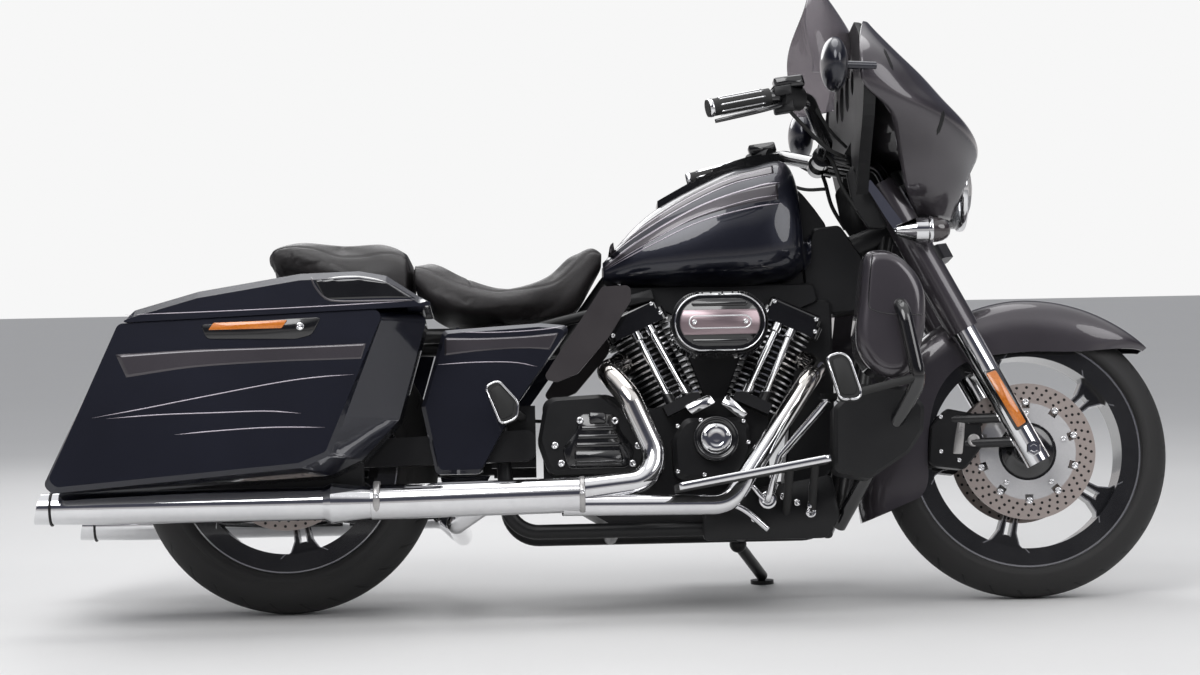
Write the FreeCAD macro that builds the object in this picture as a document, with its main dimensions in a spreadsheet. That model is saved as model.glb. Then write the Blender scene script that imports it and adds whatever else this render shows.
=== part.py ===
# Touring cruiser motorcycle, parked on its side stand.
#
# Every piece is drawn in the upright bike frame: X points forward from the rear axle,
# Y points to the rider's left and Z points up from the floor. The whole bike is then
# leaned to the left about the line where the tyres meet the floor. All lengths are in mm.
import FreeCAD, Part
import math
import os
import Sketcher
from FreeCAD import Placement, Rotation, Vector

SIZES = {
    # stance
    "wheelbase": 1625.0,
    "lean_angle": 9.0,
    "rake_angle": 26.0,
    "trail": 170.0,
    "fork_angle": 27.5,
    # fits
    "seat_gap": 0.3,
    "axle_clearance": 0.05,
    "moving_gap": 5.0,
    "overrun": 20.0,
    # front wheel
    "front_tyre_radius": 319.0,
    "front_tyre_width": 130.0,
    "front_crown_radius": 68.0,
    "front_rim_radius": 241.3,
    "front_rim_width": 102.0,
    "front_barrel_radius": 212.0,
    "front_hub_radius": 44.0,
    "front_hub_flange": 72.0,
    "front_hub_width": 132.0,
    "front_axle_radius": 12.5,
    "front_wheel_turn": -22.0,
    # rear wheel
    "rear_tyre_radius": 327.6,
    "rear_tyre_width": 180.0,
    "rear_crown_radius": 92.0,
    "rear_rim_radius": 228.6,
    "rear_rim_width": 154.0,
    "rear_barrel_radius": 200.0,
    "rear_hub_radius": 52.0,
    "rear_hub_flange": 76.0,
    "rear_hub_width": 180.0,
    "rear_axle_radius": 12.5,
    "rear_wheel_turn": 26.0,
    # both rims
    "rim_flange": 13.0,
    "rim_lip": 7.0,
    "rim_wall": 7.0,
    "bead_width": 14.0,
    "hub_flange_width": 10.0,
    "spoke_count": 5,
    "spoke_width": 32.0,
    "spoke_slot": 14.0,
    "spoke_depth": 46.0,
    "spoke_foot": 104.0,
    # brakes and final drive
    "disc_radius": 150.0,
    "disc_inner_radius": 107.0,
    "disc_bore": 64.0,
    "disc_thickness": 5.0,
    "disc_windows": 10,
    "disc_window_length": 18.0,
    "pulley_radius": 128.0,
    "pulley_width": 24.0,
    "belt_width": 20.0,
    "belt_thickness": 6.0,
    "drive_pulley_radius": 62.0,
    "drive_pulley_x": 630.0,
    "drive_pulley_z": 353.0,
    "caliper_length": 130.0,
    "caliper_outer": 99.5,
    "caliper_inner": 54.5,
    # fork
    "fork_track": 236.0,
    "slider_radius": 28.0,
    "slider_length": 330.0,
    "slider_drop": 32.0,
    "fork_lug_radius": 11.0,
    "fender_stay_height": 272.0,
    "cover_radius": 36.0,
    "cover_length": 372.0,
    "stem_radius": 14.0,
    "clamp_thickness": 34.0,
    "clamp_width": 84.0,
    "clamp_reach": 52.0,
    "head_tube_radius": 30.0,
    "head_tube_length": 150.0,
    "head_height": 835.0,
    # fenders
    "fender_wall": 4.0,
    "front_fender_radius": 342.0,
    "front_fender_half_width": 85.0,
    "front_fender_skirt": 222.0,
    "rear_fender_radius": 366.0,
    "rear_fender_half_width": 104.0,
    "rear_fender_skirt": 262.0,
    # fairing and screen
    "fairing_wall": 5.0,
    "fairing_base": 838.0,
    "fairing_height": 414.0,
    "fairing_half_width": 382.0,
    "fairing_nose": 1545.0,
    "fairing_depth": 300.0,
    "dash_back": 1256.0,
    "dash_depth": 26.0,
    "dash_notch_half_width": 168.0,
    "dash_notch_height": 940.0,
    "bar_notch_half_width": 96.0,
    "bar_notch_height": 1012.0,
    "headlamp_radius": 89.0,
    "headlamp_height": 918.0,
    "headlamp_depth": 60.0,
    "headlamp_dome": 30.0,
    "headlamp_setback": 40.0,
    "windshield_thickness": 5.0,
    "windshield_base": 1140.0,
    "windshield_height": 244.0,
    "windshield_half_width": 238.0,
    "windshield_rear": 1146.0,
    "windshield_depth": 156.0,
    # lamps and mirrors
    "signal_radius": 27.0,
    "signal_offset": 190.0,
    "signal_height": 797.0,
    "signal_length": 76.0,
    "signal_arm_radius": 11.0,
    "mirror_x": 1192.0,
    "mirror_offset": 398.0,
    "mirror_z": 1122.0,
    "mirror_width": 138.0,
    "mirror_height": 116.0,
    "mirror_depth": 60.0,
    "mirror_stalk_radius": 9.0,
    "tail_lamp_radius": 30.0,
    "tail_lamp_offset": 54.0,
    "tail_lamp_depth": 26.0,
    "tail_lamp_angle": 155.0,
    # handlebar
    "bar_radius": 15.9,
    "bar_bend": 70.0,
    "bar_centre_x": 1196.0,
    "bar_centre_z": 986.0,
    "bar_sweep": 264.0,
    "bar_rise": 42.0,
    "bar_reach": 426.0,
    "grip_radius": 18.5,
    "grip_length": 125.0,
    "grip_overhang": 14.0,
    "control_radius": 27.0,
    "control_length": 62.0,
    "riser_radius": 17.0,
    "riser_offset": 50.0,
    # engine
    "crank_x": 940.0,
    "crank_z": 250.0,
    "vee_half_angle": 25.0,
    "barrel_start": 197.0,
    "barrel_finned_length": 190.0,
    "barrel_radius": 56.0,
    "fin_radius": 74.0,
    "fin_count": 14,
    "fin_thickness": 4.0,
    "rocker_height": 54.0,
    "rocker_length": 142.0,
    "rocker_width": 204.0,
    "case_rear": 560.0,
    "case_length": 492.0,
    "case_height": 282.0,
    "case_half_width": 118.0,
    "case_corner": 26.0,
    "cover_bevel": 9.0,
    "cam_cover_x": 838.0,
    "cam_cover_z": 262.0,
    "cam_cover_length": 172.0,
    "cam_cover_height": 134.0,
    "cam_cover_reach": 200.0,
    "timer_cover_x": 931.0,
    "timer_cover_z": 348.0,
    "timer_cover_radius": 48.0,
    "timer_cover_thickness": 22.0,
    "gearbox_cover_x": 548.0,
    "gearbox_cover_z": 280.0,
    "gearbox_cover_length": 238.0,
    "gearbox_cover_height": 172.0,
    "gearbox_cover_reach": 196.0,
    "primary_x": 560.0,
    "primary_z": 188.0,
    "primary_length": 474.0,
    "primary_height": 264.0,
    "primary_reach": 262.0,
    "tappet_reach": 166.0,
    "tappet_length": 84.0,
    "tappet_thickness": 24.0,
    "pushrod_radius": 8.0,
    "pushrod_collar_radius": 12.0,
    "pushrod_collar_length": 22.0,
    "pushrod_foot_y": 144.0,
    "pushrod_head_y": 88.0,
    "pushrod_spread": 40.0,
    "air_cleaner_x": 943.0,
    "air_cleaner_z": 593.0,
    "air_cleaner_length": 206.0,
    "air_cleaner_height": 134.0,
    "air_cleaner_depth": 92.0,
    "air_cleaner_reach": 268.0,
    "intake_radius": 22.0,
    # exhaust
    "muffler_radius": 35.0,
    "muffler_height": 221.0,
    "muffler_offset": 300.0,
    "muffler_front": 196.0,
    "muffler_length": 706.0,
    "muffler_slant": 16.0,
    "muffler_bore": 25.0,
    "muffler_bore_depth": 130.0,
    "muffler_flare": 43.0,
    "muffler_flare_length": 84.0,
    "heat_shield_radius": 37.0,
    "heat_shield_rise": 7.0,
    "heat_shield_length": 444.0,
    "header_radius": 25.0,
    "front_header_radius": 22.0,
    "header_bend": 62.0,
    "header_rise": 340.0,
    "header_span": 556.0,
    "crossover_height": 176.0,
    # frame
    "rail_radius": 16.0,
    "rail_height": 160.0,
    "rail_half_track": 142.0,
    "rail_bend": 70.0,
    "frame_rear": 110.0,
    "frame_length": 1240.0,
    "frame_height": 434.0,
    "backbone_radius": 28.0,
    "backbone_height": 758.0,
    "backbone_bend": 120.0,
    "seat_bar_radius": 12.0,
    "bag_pin_radius": 9.0,
    "pivot_plate_x": 448.0,
    "pivot_plate_z": 300.0,
    "pivot_plate_length": 96.0,
    "pivot_plate_height": 134.0,
    "pivot_plate_thickness": 14.0,
    "swingarm_pivot_x": 520.0,
    "swingarm_pivot_z": 345.0,
    "swingarm_pivot_radius": 14.0,
    "swingarm_half_width": 175.0,
    "swingarm_thickness": 24.0,
    "swingarm_depth": 62.0,
    "swingarm_end": 46.0,
    "swingarm_bridge_x": 354.0,
    "swingarm_bridge_length": 70.0,
    # tank and seats
    "tank_rear": 700.0,
    "tank_length": 464.0,
    "tank_base": 700.0,
    "tank_height": 286.0,
    "tank_half_width": 148.0,
    "console_half_width": 42.0,
    "console_height": 14.0,
    "fuel_door_half_width": 34.0,
    "fuel_door_thickness": 5.0,
    "seat_rear": 284.0,
    "seat_length": 414.0,
    "seat_base": 626.0,
    "seat_rise": 182.0,
    "seat_half_width": 172.0,
    "pillion_rear": -45.0,
    "pillion_length": 322.0,
    "pillion_base": 660.0,
    "pillion_rise": 155.0,
    "pillion_half_width": 140.0,
    # saddlebags
    "bag_rear": -473.0,
    "bag_length": 800.0,
    "bag_floor": 245.0,
    "bag_height": 366.0,
    "bag_outer": 425.0,
    "bag_shoulder": 318.0,
    "bag_inner": 216.0,
    "bag_wall": 4.0,
    "bag_seam_gap": 1.0,
    "bag_seam_rise": 0.036,
    "bag_corner": 16.0,
    "bag_bevel": 12.0,
    "lid_height": 108.0,
    "lid_overhang": 5.0,
    "lid_bevel": 30.0,
    # body panels
    "side_cover_x": 300.0,
    "side_cover_z": 284.0,
    "side_cover_length": 328.0,
    "side_cover_height": 323.0,
    "side_cover_reach": 212.0,
    "side_cover_thickness": 16.0,
    "flap_x": 562.0,
    "flap_z": 478.0,
    "flap_length": 194.0,
    "flap_height": 208.0,
    "flap_reach": 206.0,
    "flap_thickness": 8.0,
    "panel_pin_radius": 7.0,
    "panel_corner": 12.0,
    "leg_shield_x": 1226.0,
    "leg_shield_z": 456.0,
    "leg_shield_width": 145.0,
    "leg_shield_height": 272.0,
    "leg_shield_outer": 372.0,
    "leg_shield_inner": 232.0,
    "leg_shield_wall": 5.0,
    "leg_shield_bevel": 22.0,
    "housing_x": 1120.0,
    "housing_z": 246.0,
    "housing_length": 246.0,
    "housing_height": 202.0,
    "housing_outer": 340.0,
    "housing_inner": 250.0,
    # guard and foot gear
    "guard_radius": 16.0,
    "guard_reach": 400.0,
    "guard_bend": 50.0,
    "guard_top": 616.0,
    "guard_front": 1348.0,
    "pad_thickness": 22.0,
    "pad_corner": 12.0,
    "pad_bevel": 4.0,
    "highway_pad_x": 1146.0,
    "highway_pad_z": 399.0,
    "highway_pad_length": 76.0,
    "highway_pad_height": 104.0,
    "highway_pad_reach": 464.0,
    "pillion_pad_x": 436.0,
    "pillion_pad_z": 377.0,
    "pillion_pad_length": 76.0,
    "pillion_pad_height": 100.0,
    "pillion_pad_reach": 304.0,
    "peg_arm_radius": 8.5,
    "floorboard_x": 836.0,
    "floorboard_z": 228.0,
    "floorboard_length": 330.0,
    "floorboard_width": 100.0,
    "floorboard_thickness": 13.0,
    "floorboard_slope": 9.6,
    "floorboard_inner": 268.0,
    "floorboard_corner": 22.0,
    "board_strut_radius": 9.0,
    "pedal_x": 1038.0,
    "pedal_z": 214.0,
    "pedal_radius": 8.0,
    "pedal_length": 130.0,
    "pedal_height": 206.0,
    "pedal_pad_length": 36.0,
    "pedal_pad_width": 56.0,
    # side stand
    "stand_pivot_x": 1000.0,
    "stand_pivot_y": 196.0,
    "stand_pivot_z": 142.0,
    "stand_foot_x": 1066.0,
    "stand_foot_y": 372.0,
    "stand_radius": 13.0,
    "stand_knuckle_radius": 19.5,
    "stand_foot_radius": 27.0,
    "stand_foot_thickness": 9.0,
    "stand_lug_length": 70.0,
    "stand_lug_width": 54.0,
    "stand_lug_thickness": 12.0,
    # number plate
    "plate_x": -388.0,
    "plate_z": 347.6,
    "plate_thickness": 4.0,
    "plate_width": 178.0,
    "plate_height": 102.0,
    "plate_stay_radius": 9.0,
    "plate_hole_spacing": 146.0,
    "plate_hole_drop": 14.0,
    "plate_hole_radius": 3.5,
}




class Bound:
    """A sheet value that keeps its formula, for sketches and bound properties."""

    def __init__(self, value, text):
        self.value = float(value)
        self.text = text

    def __add__(self, other):
        other = bound(other)
        return Bound(self.value + other.value, "(%s + %s)" % (self.text, other.text))

    def __sub__(self, other):
        other = bound(other)
        return Bound(self.value - other.value, "(%s - %s)" % (self.text, other.text))

    def __mul__(self, other):
        other = bound(other)
        return Bound(self.value * other.value, "%s * %s" % (self.text, other.text))

    def __truediv__(self, other):
        other = bound(other)
        return Bound(self.value / other.value, "%s / %s" % (self.text, other.text))

    def __neg__(self):
        return Bound(-self.value, "(-1 * %s)" % self.text)


def bound(item):
    return item if isinstance(item, Bound) else Bound(item, repr(float(item)))


class Sheet:
    """Reads the document's spreadsheet: as plain numbers, or as bound formulas."""

    def __init__(self, cells, formulas):
        self.cells = cells
        self.formulas = formulas

    def __getattr__(self, alias):
        value = float(self.cells.get(alias))
        return Bound(value, "Sizes." + alias) if self.formulas else value


doc = FreeCAD.newDocument("touring_cruiser")
cells = doc.addObject("Spreadsheet::Sheet", "Sizes")
for row, (alias, value) in enumerate(SIZES.items(), start=1):
    cells.set("A%d" % row, alias)
    cells.set("B%d" % row, repr(value))
    cells.setAlias("B%d" % row, alias)
doc.recompute()
S = Sheet(cells, False)
F = Sheet(cells, True)

X_AXIS = Vector(1, 0, 0)
Y_AXIS = Vector(0, 1, 0)
Z_AXIS = Vector(0, 0, 1)
RIGHT = -1
LEFT = 1
SIDES = (RIGHT, LEFT)
REAR = -1
FRONT = 1


# Where things are

def crown_lift():
    """Rise of the bike frame when the rear tyre rolls onto the side of its crown."""
    return S.rear_crown_radius * (1 - math.cos(math.radians(S.lean_angle)))


def front_axle_height():
    """Axle height at which the front tyre's crown meets the floor of the leaned bike."""
    drop = (S.front_crown_radius - crown_lift()) / math.cos(math.radians(S.lean_angle))
    return S.front_tyre_radius - S.front_crown_radius + drop


def front_centre():
    return Vector(S.wheelbase, 0, front_axle_height())


def rear_centre():
    return Vector(0, 0, S.rear_tyre_radius)


def parked():
    """Placement that leans the upright bike and centres its footprint on the origin."""
    lean = math.radians(S.lean_angle)
    middle_x = (S.wheelbase + S.front_tyre_radius + muffler_tip()) / 2
    mirror_end = S.mirror_offset + S.mirror_width / 2
    left_reach = mirror_end * math.cos(lean) + S.mirror_z * math.sin(lean)
    right_reach = S.highway_pad_reach * math.cos(lean) - S.highway_pad_z * math.sin(lean)
    shift = Vector(-middle_x, (right_reach - left_reach) / 2, crown_lift())
    return Placement(shift, Rotation(X_AXIS, -S.lean_angle))


def steering_point(height):
    """Point of the steering axis at a height above the floor."""
    lean_back = height * math.tan(math.radians(S.rake_angle))
    return Vector(S.wheelbase + S.trail - lean_back, 0, height)


def steering_direction():
    rake = math.radians(S.rake_angle)
    return Vector(-math.sin(rake), 0, math.cos(rake))


def fork_direction():
    tilt = math.radians(S.fork_angle)
    return Vector(-math.sin(tilt), 0, math.cos(tilt))


def fork_point(side, distance):
    """Point on a fork leg's axis, so far above the front axle."""
    return front_centre() + Y_AXIS * (side * S.fork_track / 2) + fork_direction() * distance


def fork_point_at(side, height):
    """Point on a fork leg's axis at a height above the floor."""
    return fork_point(side, (height - front_axle_height()) / fork_direction().z)


def cylinder_direction(end):
    """Axis of the front or the rear cylinder, from the crank outwards."""
    tilt = math.radians(S.vee_half_angle)
    return Vector(end * math.sin(tilt), 0, math.cos(tilt))


def crank_centre():
    return Vector(S.crank_x, 0, S.crank_z)


def muffler_tip():
    return S.muffler_front - S.muffler_length


def belt_inner():
    """Lateral place of the belt's inner edge, centred on the rear pulley's width."""
    return S.rear_hub_width / 2 + (S.pulley_width - S.belt_width) / 2


# Shape helpers

def scaled(shares, x, z, length, height):
    """Side-view corners given as shares of a box whose low rear corner is at x, z."""
    return [(x + a * length, z + b * height) for a, b in shares]


def spread(shares, start, span):
    """Points given as shares of a box in space."""
    return [Vector(start.x + a * span.x, start.y + b * span.y, start.z + c * span.z) for a, b, c in shares]


def upright(points, offset):
    """Turns side-view corners into points of the plane at one lateral offset."""
    return [Vector(x, offset, z) for x, z in points]


def shrunk(points, margin):
    """The same outline with its bounding box drawn in by a margin on every side."""
    xs = [x for x, z in points]
    zs = [z for x, z in points]
    middle_x = (min(xs) + max(xs)) / 2
    middle_z = (min(zs) + max(zs)) / 2
    share_x = 1 - 2 * margin / (max(xs) - min(xs))
    share_z = 1 - 2 * margin / (max(zs) - min(zs))
    return [(middle_x + (x - middle_x) * share_x, middle_z + (z - middle_z) * share_z) for x, z in points]


def corner_arc(before, corner, after, radius, room_share):
    """Ends and middle of the arc that rounds a corner, no longer than its runs allow."""
    back = (before - corner)
    ahead = (after - corner)
    half = (math.pi - back.getAngle(ahead)) / 2
    reach = min(radius * math.tan(half), min(back.Length, ahead.Length) * room_share)
    bend = reach / math.tan(half)
    back = Vector(back).normalize()
    ahead = Vector(ahead).normalize()
    inward = (back + ahead).normalize()
    return corner + back * reach, corner + inward * (bend / math.cos(half) - bend), corner + ahead * reach


def rounded_wire(points, radius):
    """Closed outline of straight runs joined by tangent arcs."""
    count = len(points)
    arcs = [corner_arc(points[i - 1], points[i], points[(i + 1) % count], radius, 0.45) for i in range(count)]
    edges = []
    for index, (start, middle, end) in enumerate(arcs):
        edges.append(Part.Arc(start, middle, end).toShape())
        edges.append(Part.LineSegment(end, arcs[(index + 1) % count][0]).toShape())
    return Part.Wire(edges)


def panel(points, low, high, radius):
    """Side-view outline extruded between two lateral offsets, with rounded corners."""
    wire = rounded_wire(upright(points, low), radius)
    return Part.Face(wire).extrude(Vector(0, high - low, 0))


def crowned(points, inner, outer, radius, bevel):
    """Side-view outline between two offsets, bevelled all round at its outer face."""
    step = math.copysign(bevel, outer - inner)
    wires = [rounded_wire(upright(points, inner), radius),
             rounded_wire(upright(points, outer - step), radius),
             rounded_wire(upright(shrunk(points, bevel), outer), radius)]
    return Part.makeLoft(wires, True, True)


def open_path(points, bend):
    """Straight runs joined by tangent arcs, as one open wire."""
    edges = []
    last = points[0]
    for before, corner, after in zip(points, points[1:], points[2:]):
        start, middle, end = corner_arc(before, corner, after, bend, 0.48)
        edges.append(Part.LineSegment(last, start).toShape())
        edges.append(Part.Arc(start, middle, end).toShape())
        last = end
    edges.append(Part.LineSegment(last, points[-1]).toShape())
    return Part.Wire(edges)


def tube(points, radius, bend):
    """Round bar along straight runs joined by arcs."""
    ring = Part.Wire(Part.Circle(points[0], points[1] - points[0], radius).toShape())
    return open_path(points, bend).makePipeShell([ring], True, False)


def rod(start, end, radius):
    return Part.makeCylinder(radius, (end - start).Length, start, end - start)


def cross_rod(centre, radius, low, high):
    """Cylinder across the bike between two lateral offsets."""
    return Part.makeCylinder(radius, high - low, Vector(centre.x, low, centre.z), Y_AXIS)


def oval_section(x, top, bottom, half_width, waist, roundness):
    """Closed superellipse across the bike, whose widest level is a share of its height."""
    middle = bottom + (top - bottom) * waist
    count = 16
    points = []
    for step in range(count):
        angle = 2 * math.pi * step / count
        across = math.copysign(abs(math.cos(angle)) ** (2 / roundness), math.cos(angle))
        upward = math.copysign(abs(math.sin(angle)) ** (2 / roundness), math.sin(angle))
        rise = top - middle if upward > 0 else middle - bottom
        points.append(Vector(x, half_width * across, middle + rise * upward))
    curve = Part.BSplineCurve()
    curve.interpolate(Points=points, PeriodicFlag=True)
    return Part.Wire(curve.toShape())


def oval_loft(stations, start, length, base, rise, half_width, roundness):
    """Body of oval sections, one at each share of the length."""
    sections = [oval_section(start + length * along, base + rise * top, base + rise * bottom,
                             half_width * wide, waist, roundness)
                for along, top, bottom, wide, waist in stations]
    return Part.makeLoft(sections, True, False)


def mirrored(shape):
    return shape.mirror(Vector(0, 0, 0), Y_AXIS)


def both_sides(shape):
    """The right piece and its mirror image, as two separate solids."""
    return Part.Compound([shape, mirrored(shape)])


def to_side(point, side):
    """A right-hand point, or its mirror image for the left side."""
    return Vector(point.x, point.y if side == RIGHT else -point.y, point.z)


def largest(shape):
    return max(shape.Solids, key=lambda item: item.Volume)


def seated(shape, carrier, towards):
    """What is left of a shape outside its carrier, on the side that a direction points to."""
    return max(shape.cut(carrier).Solids, key=lambda item: item.CenterOfMass.dot(towards))


# Document objects

def origin_feature(body, role):
    return next(item for item in body.Origin.OriginFeatures if item.Role == role)


def new_body(label):
    body = doc.addObject("PartDesign::Body", label)
    body.Label = label
    return body


def sketch_on(body, name, role, corners):
    """Closed sketch whose corners are bound to the sheet by their formulas."""
    sketch = body.newObject("Sketcher::SketchObject", name)
    sketch.AttachmentSupport = (origin_feature(body, role), [""])
    sketch.MapMode = "FlatFace"
    corners = [(bound(a), bound(b)) for a, b in corners]
    count = len(corners)
    for index, (a, b) in enumerate(corners):
        c, d = corners[(index + 1) % count]
        line = Part.LineSegment(Vector(a.value, b.value, 0), Vector(c.value, d.value, 0))
        sketch.addGeometry(line, False)
    for index in range(count):
        follower = (index + 1) % count
        sketch.addConstraint(Sketcher.Constraint("Coincident", index, 2, follower, 1))
    for index, (a, b) in enumerate(corners):
        for kind, item in (("DistanceX", a), ("DistanceY", b)):
            rule = sketch.addConstraint(Sketcher.Constraint(kind, -1, 1, index, 1, item.value))
            sketch.setExpression("Constraints[%d]" % rule, item.text)
    return sketch


def revolve_sketch(body, sketch, name):
    feature = body.newObject("PartDesign::Revolution", name)
    feature.Profile = sketch
    feature.ReferenceAxis = (sketch, ["H_Axis"])
    feature.Angle = 360.0
    return feature


def pad_sketch(body, sketch, length, name):
    feature = body.newObject("PartDesign::Pad", name)
    feature.Profile = sketch
    feature.setExpression("Length", bound(length).text)
    feature.Midplane = True
    return feature


def pocket_sketch(body, sketch, length, name):
    feature = body.newObject("PartDesign::Pocket", name)
    feature.Profile = sketch
    feature.Midplane = True
    feature.setExpression("Length", bound(length).text)
    return feature


NODES = []


def keep(item, placement=None):
    """Adds a finished sub-part to the list and leans it with the bike."""
    item.Placement = parked().multiply(placement or Placement())
    NODES.append(item)
    return item


def solid_node(label, shape):
    """A sub-part whose form is worked out with free shapes."""
    feature = doc.addObject("Part::Feature", label)
    feature.Label = label
    joined = shape.ShapeType != "Solid" and len(shape.Solids) == 1
    feature.Shape = shape.Solids[0].removeSplitter() if joined else shape
    return keep(feature, feature.Placement)


# Wheels

def tyre(label, radius, width, crown, bead, rim_width, centre):
    """Ring of rubber: a round crown, a curved side wall and beads on the rim."""
    shoulder = math.asin(min(0.94, width / 2 / crown))
    side_y = crown * math.sin(shoulder)
    side_r = radius - crown + crown * math.cos(shoulder)
    bead_y = rim_width / 2 - S.rim_lip - S.seat_gap
    bead_r = bead + S.seat_gap
    lip_r = bead + S.rim_flange + S.seat_gap
    wall_r = lip_r + (side_r - lip_r) * 0.55
    edge_y = rim_width / 2
    toe_y = bead_y - S.bead_width + S.seat_gap
    roof_r = lip_r + S.rim_flange
    left, right = Vector(0, side_y, side_r), Vector(0, -side_y, side_r)
    crown_arc = Part.Arc(left, Vector(0, 0, radius), right)
    right_wall = Part.Arc(right, Vector(0, -width / 2, wall_r), Vector(0, -edge_y, lip_r))
    left_wall = Part.Arc(Vector(0, edge_y, lip_r), Vector(0, width / 2, wall_r), left)
    right_foot = [(-edge_y, lip_r), (-bead_y, lip_r), (-bead_y, bead_r), (-toe_y, bead_r), (-toe_y, roof_r)]
    inner = [Vector(0, y, r) for y, r in right_foot + [(-y, r) for y, r in reversed(right_foot)]]
    edges = [crown_arc.toShape(), right_wall.toShape()]
    edges += [Part.LineSegment(a, b).toShape() for a, b in zip(inner, inner[1:])]
    edges.append(left_wall.toShape())
    ring = Part.Face(Part.Wire(edges)).revolve(Vector(0, 0, 0), Y_AXIS, 360)
    ring.translate(centre)
    return solid_node(label, ring)


def rim(label, end):
    """Cast wheel: a channelled barrel, a flanged hub and split spokes."""
    body = new_body(label)
    bead, half, barrel, bore, hub, flange, hub_half = (
        getattr(F, end + "_rim_radius"), getattr(F, end + "_rim_width") / 2,
        getattr(F, end + "_barrel_radius"),
        getattr(F, end + "_axle_radius") + F.axle_clearance, getattr(F, end + "_hub_radius"),
        getattr(F, end + "_hub_flange"), getattr(F, end + "_hub_width") / 2)
    lip, toe = half - F.rim_lip, half - F.rim_lip - F.bead_width
    well = barrel + F.rim_wall
    barrel_half = [(half, barrel), (half, bead + F.rim_flange), (lip, bead + F.rim_flange), (lip, bead),
                   (toe, bead), (toe - F.bead_width, well)]
    profile = barrel_half + [(-y, r) for y, r in reversed(barrel_half)]
    revolve_sketch(body, sketch_on(body, "RimSection", "YZ_Plane", profile), "Barrel")
    spoke = spoke_pad(body, flange, barrel)
    waist = hub_half - F.hub_flange_width
    hub_side = [(hub_half, bore), (hub_half, flange), (waist, flange), (waist - F.hub_flange_width, hub)]
    profile = hub_side + [(-y, r) for y, r in reversed(hub_side)]
    revolve_sketch(body, sketch_on(body, "HubSection", "YZ_Plane", profile), "Hub")
    doc.recompute()
    slot = spoke_slot(body, flange, barrel)
    pattern = body.newObject("PartDesign::PolarPattern", "Spokes")
    pattern.Originals = [spoke, slot]
    pattern.Axis = (origin_feature(body, "Y_Axis"), [""])
    pattern.Angle = 360.0
    pattern.setExpression("Occurrences", F.spoke_count.text)
    body.Tip = pattern
    return body


def spoke_pad(body, flange, barrel):
    """One spoke that springs from the hub and flares to a wide foot on the barrel."""
    root, end = flange - F.hub_flange_width * 3, barrel + F.rim_wall / 2
    half, foot = F.spoke_width / 2, F.spoke_foot / 2
    reach = end - root
    flare_shares = ((0.0, 0.22), (0.5, 0.0), (0.78, 0.12), (0.92, 0.45), (1.0, 1.0))
    right = [(half + (foot - half) * wide, root + reach * along) for along, wide in flare_shares]
    outline = right + [(-x, z) for x, z in reversed(right)]
    return pad_sketch(body, sketch_on(body, "SpokeOutline", "XZ_Plane", outline), F.spoke_depth, "Spoke")


def spoke_slot(body, flange, barrel):
    """Slot that splits the spoke into two arms."""
    root, end = flange + F.rim_wall, barrel - F.spoke_foot / 4
    half = F.spoke_slot / 2
    outline = [(-half, root), (half, root), (half, end), (-half, end)]
    return pocket_sketch(body, sketch_on(body, "SlotOutline", "XZ_Plane", outline), F.spoke_depth * 2,
                         "SpokeSlot")


def wheels():
    tyre("front_tyre", S.front_tyre_radius, S.front_tyre_width, S.front_crown_radius,
         S.front_rim_radius, S.front_rim_width, front_centre())
    tyre("rear_tyre", S.rear_tyre_radius, S.rear_tyre_width, S.rear_crown_radius,
         S.rear_rim_radius, S.rear_rim_width, rear_centre())
    keep(rim("front_rim", "front"), Placement(front_centre(), Rotation(Y_AXIS, S.front_wheel_turn)))
    keep(rim("rear_rim", "rear"), Placement(rear_centre(), Rotation(Y_AXIS, S.rear_wheel_turn)))


def brake_disc(centre, face, side):
    """Brake disc seated on a hub's face: a rotor on a carrier with windows between its arms."""
    low = face if side == LEFT else -face - S.disc_thickness
    high = low + S.disc_thickness
    plate = cross_rod(Vector(0, 0, 0), S.disc_radius, low, high)
    plate = plate.cut(cross_rod(Vector(0, 0, 0), S.disc_bore, low, high))
    window_depth = S.disc_window_length * 0.9
    for index in range(int(S.disc_windows)):
        corner = Vector(-S.disc_window_length / 2, low - S.overrun, S.disc_inner_radius - window_depth * 0.75)
        window = Part.makeBox(S.disc_window_length, S.overrun * 2 + high - low, window_depth, corner)
        window.rotate(Vector(0, 0, 0), Y_AXIS, 360.0 * index / S.disc_windows)
        plate = plate.cut(window)
    plate.translate(centre)
    return plate


def wheel_brakes():
    """Two front discs on the hub's ends, and a rear disc opposite the belt pulley."""
    discs = [brake_disc(front_centre(), S.front_hub_width / 2, side) for side in SIDES]
    solid_node("front_discs", Part.Compound(discs))
    face = S.rear_hub_width / 2
    disc = brake_disc(rear_centre(), face, RIGHT)
    pulley = cross_rod(rear_centre(), S.pulley_radius, face, face + S.pulley_width)
    pulley = pulley.cut(cross_rod(rear_centre(), S.disc_bore, face, face + S.pulley_width))
    solid_node("rear_disc_and_pulley", Part.Compound([disc, pulley]))


def axle(label, end, height, centre, half_length):
    """Plain spindle that reaches through both ends of its fork or swingarm."""
    item = doc.addObject("Part::Cylinder", label)
    item.setExpression("Radius", getattr(F, end + "_axle_radius").text)
    item.setExpression("Height", height.text)
    keep(item, Placement(centre - Y_AXIS * half_length, Rotation(X_AXIS, -90)))


def axles():
    front_length = F.fork_track + F.slider_radius * 2
    rear_length = (F.swingarm_half_width + F.swingarm_thickness) * 2
    axle("front_axle", "front", front_length, front_centre(), front_length.value / 2)
    axle("rear_axle", "rear", rear_length, rear_centre(), rear_length.value / 2)


# Fork

def steering_frame(height):
    """Placement at a height on the steering axis, with its own Z along the axis."""
    return Placement(steering_point(height), Rotation(Y_AXIS, -S.rake_angle))


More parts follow.
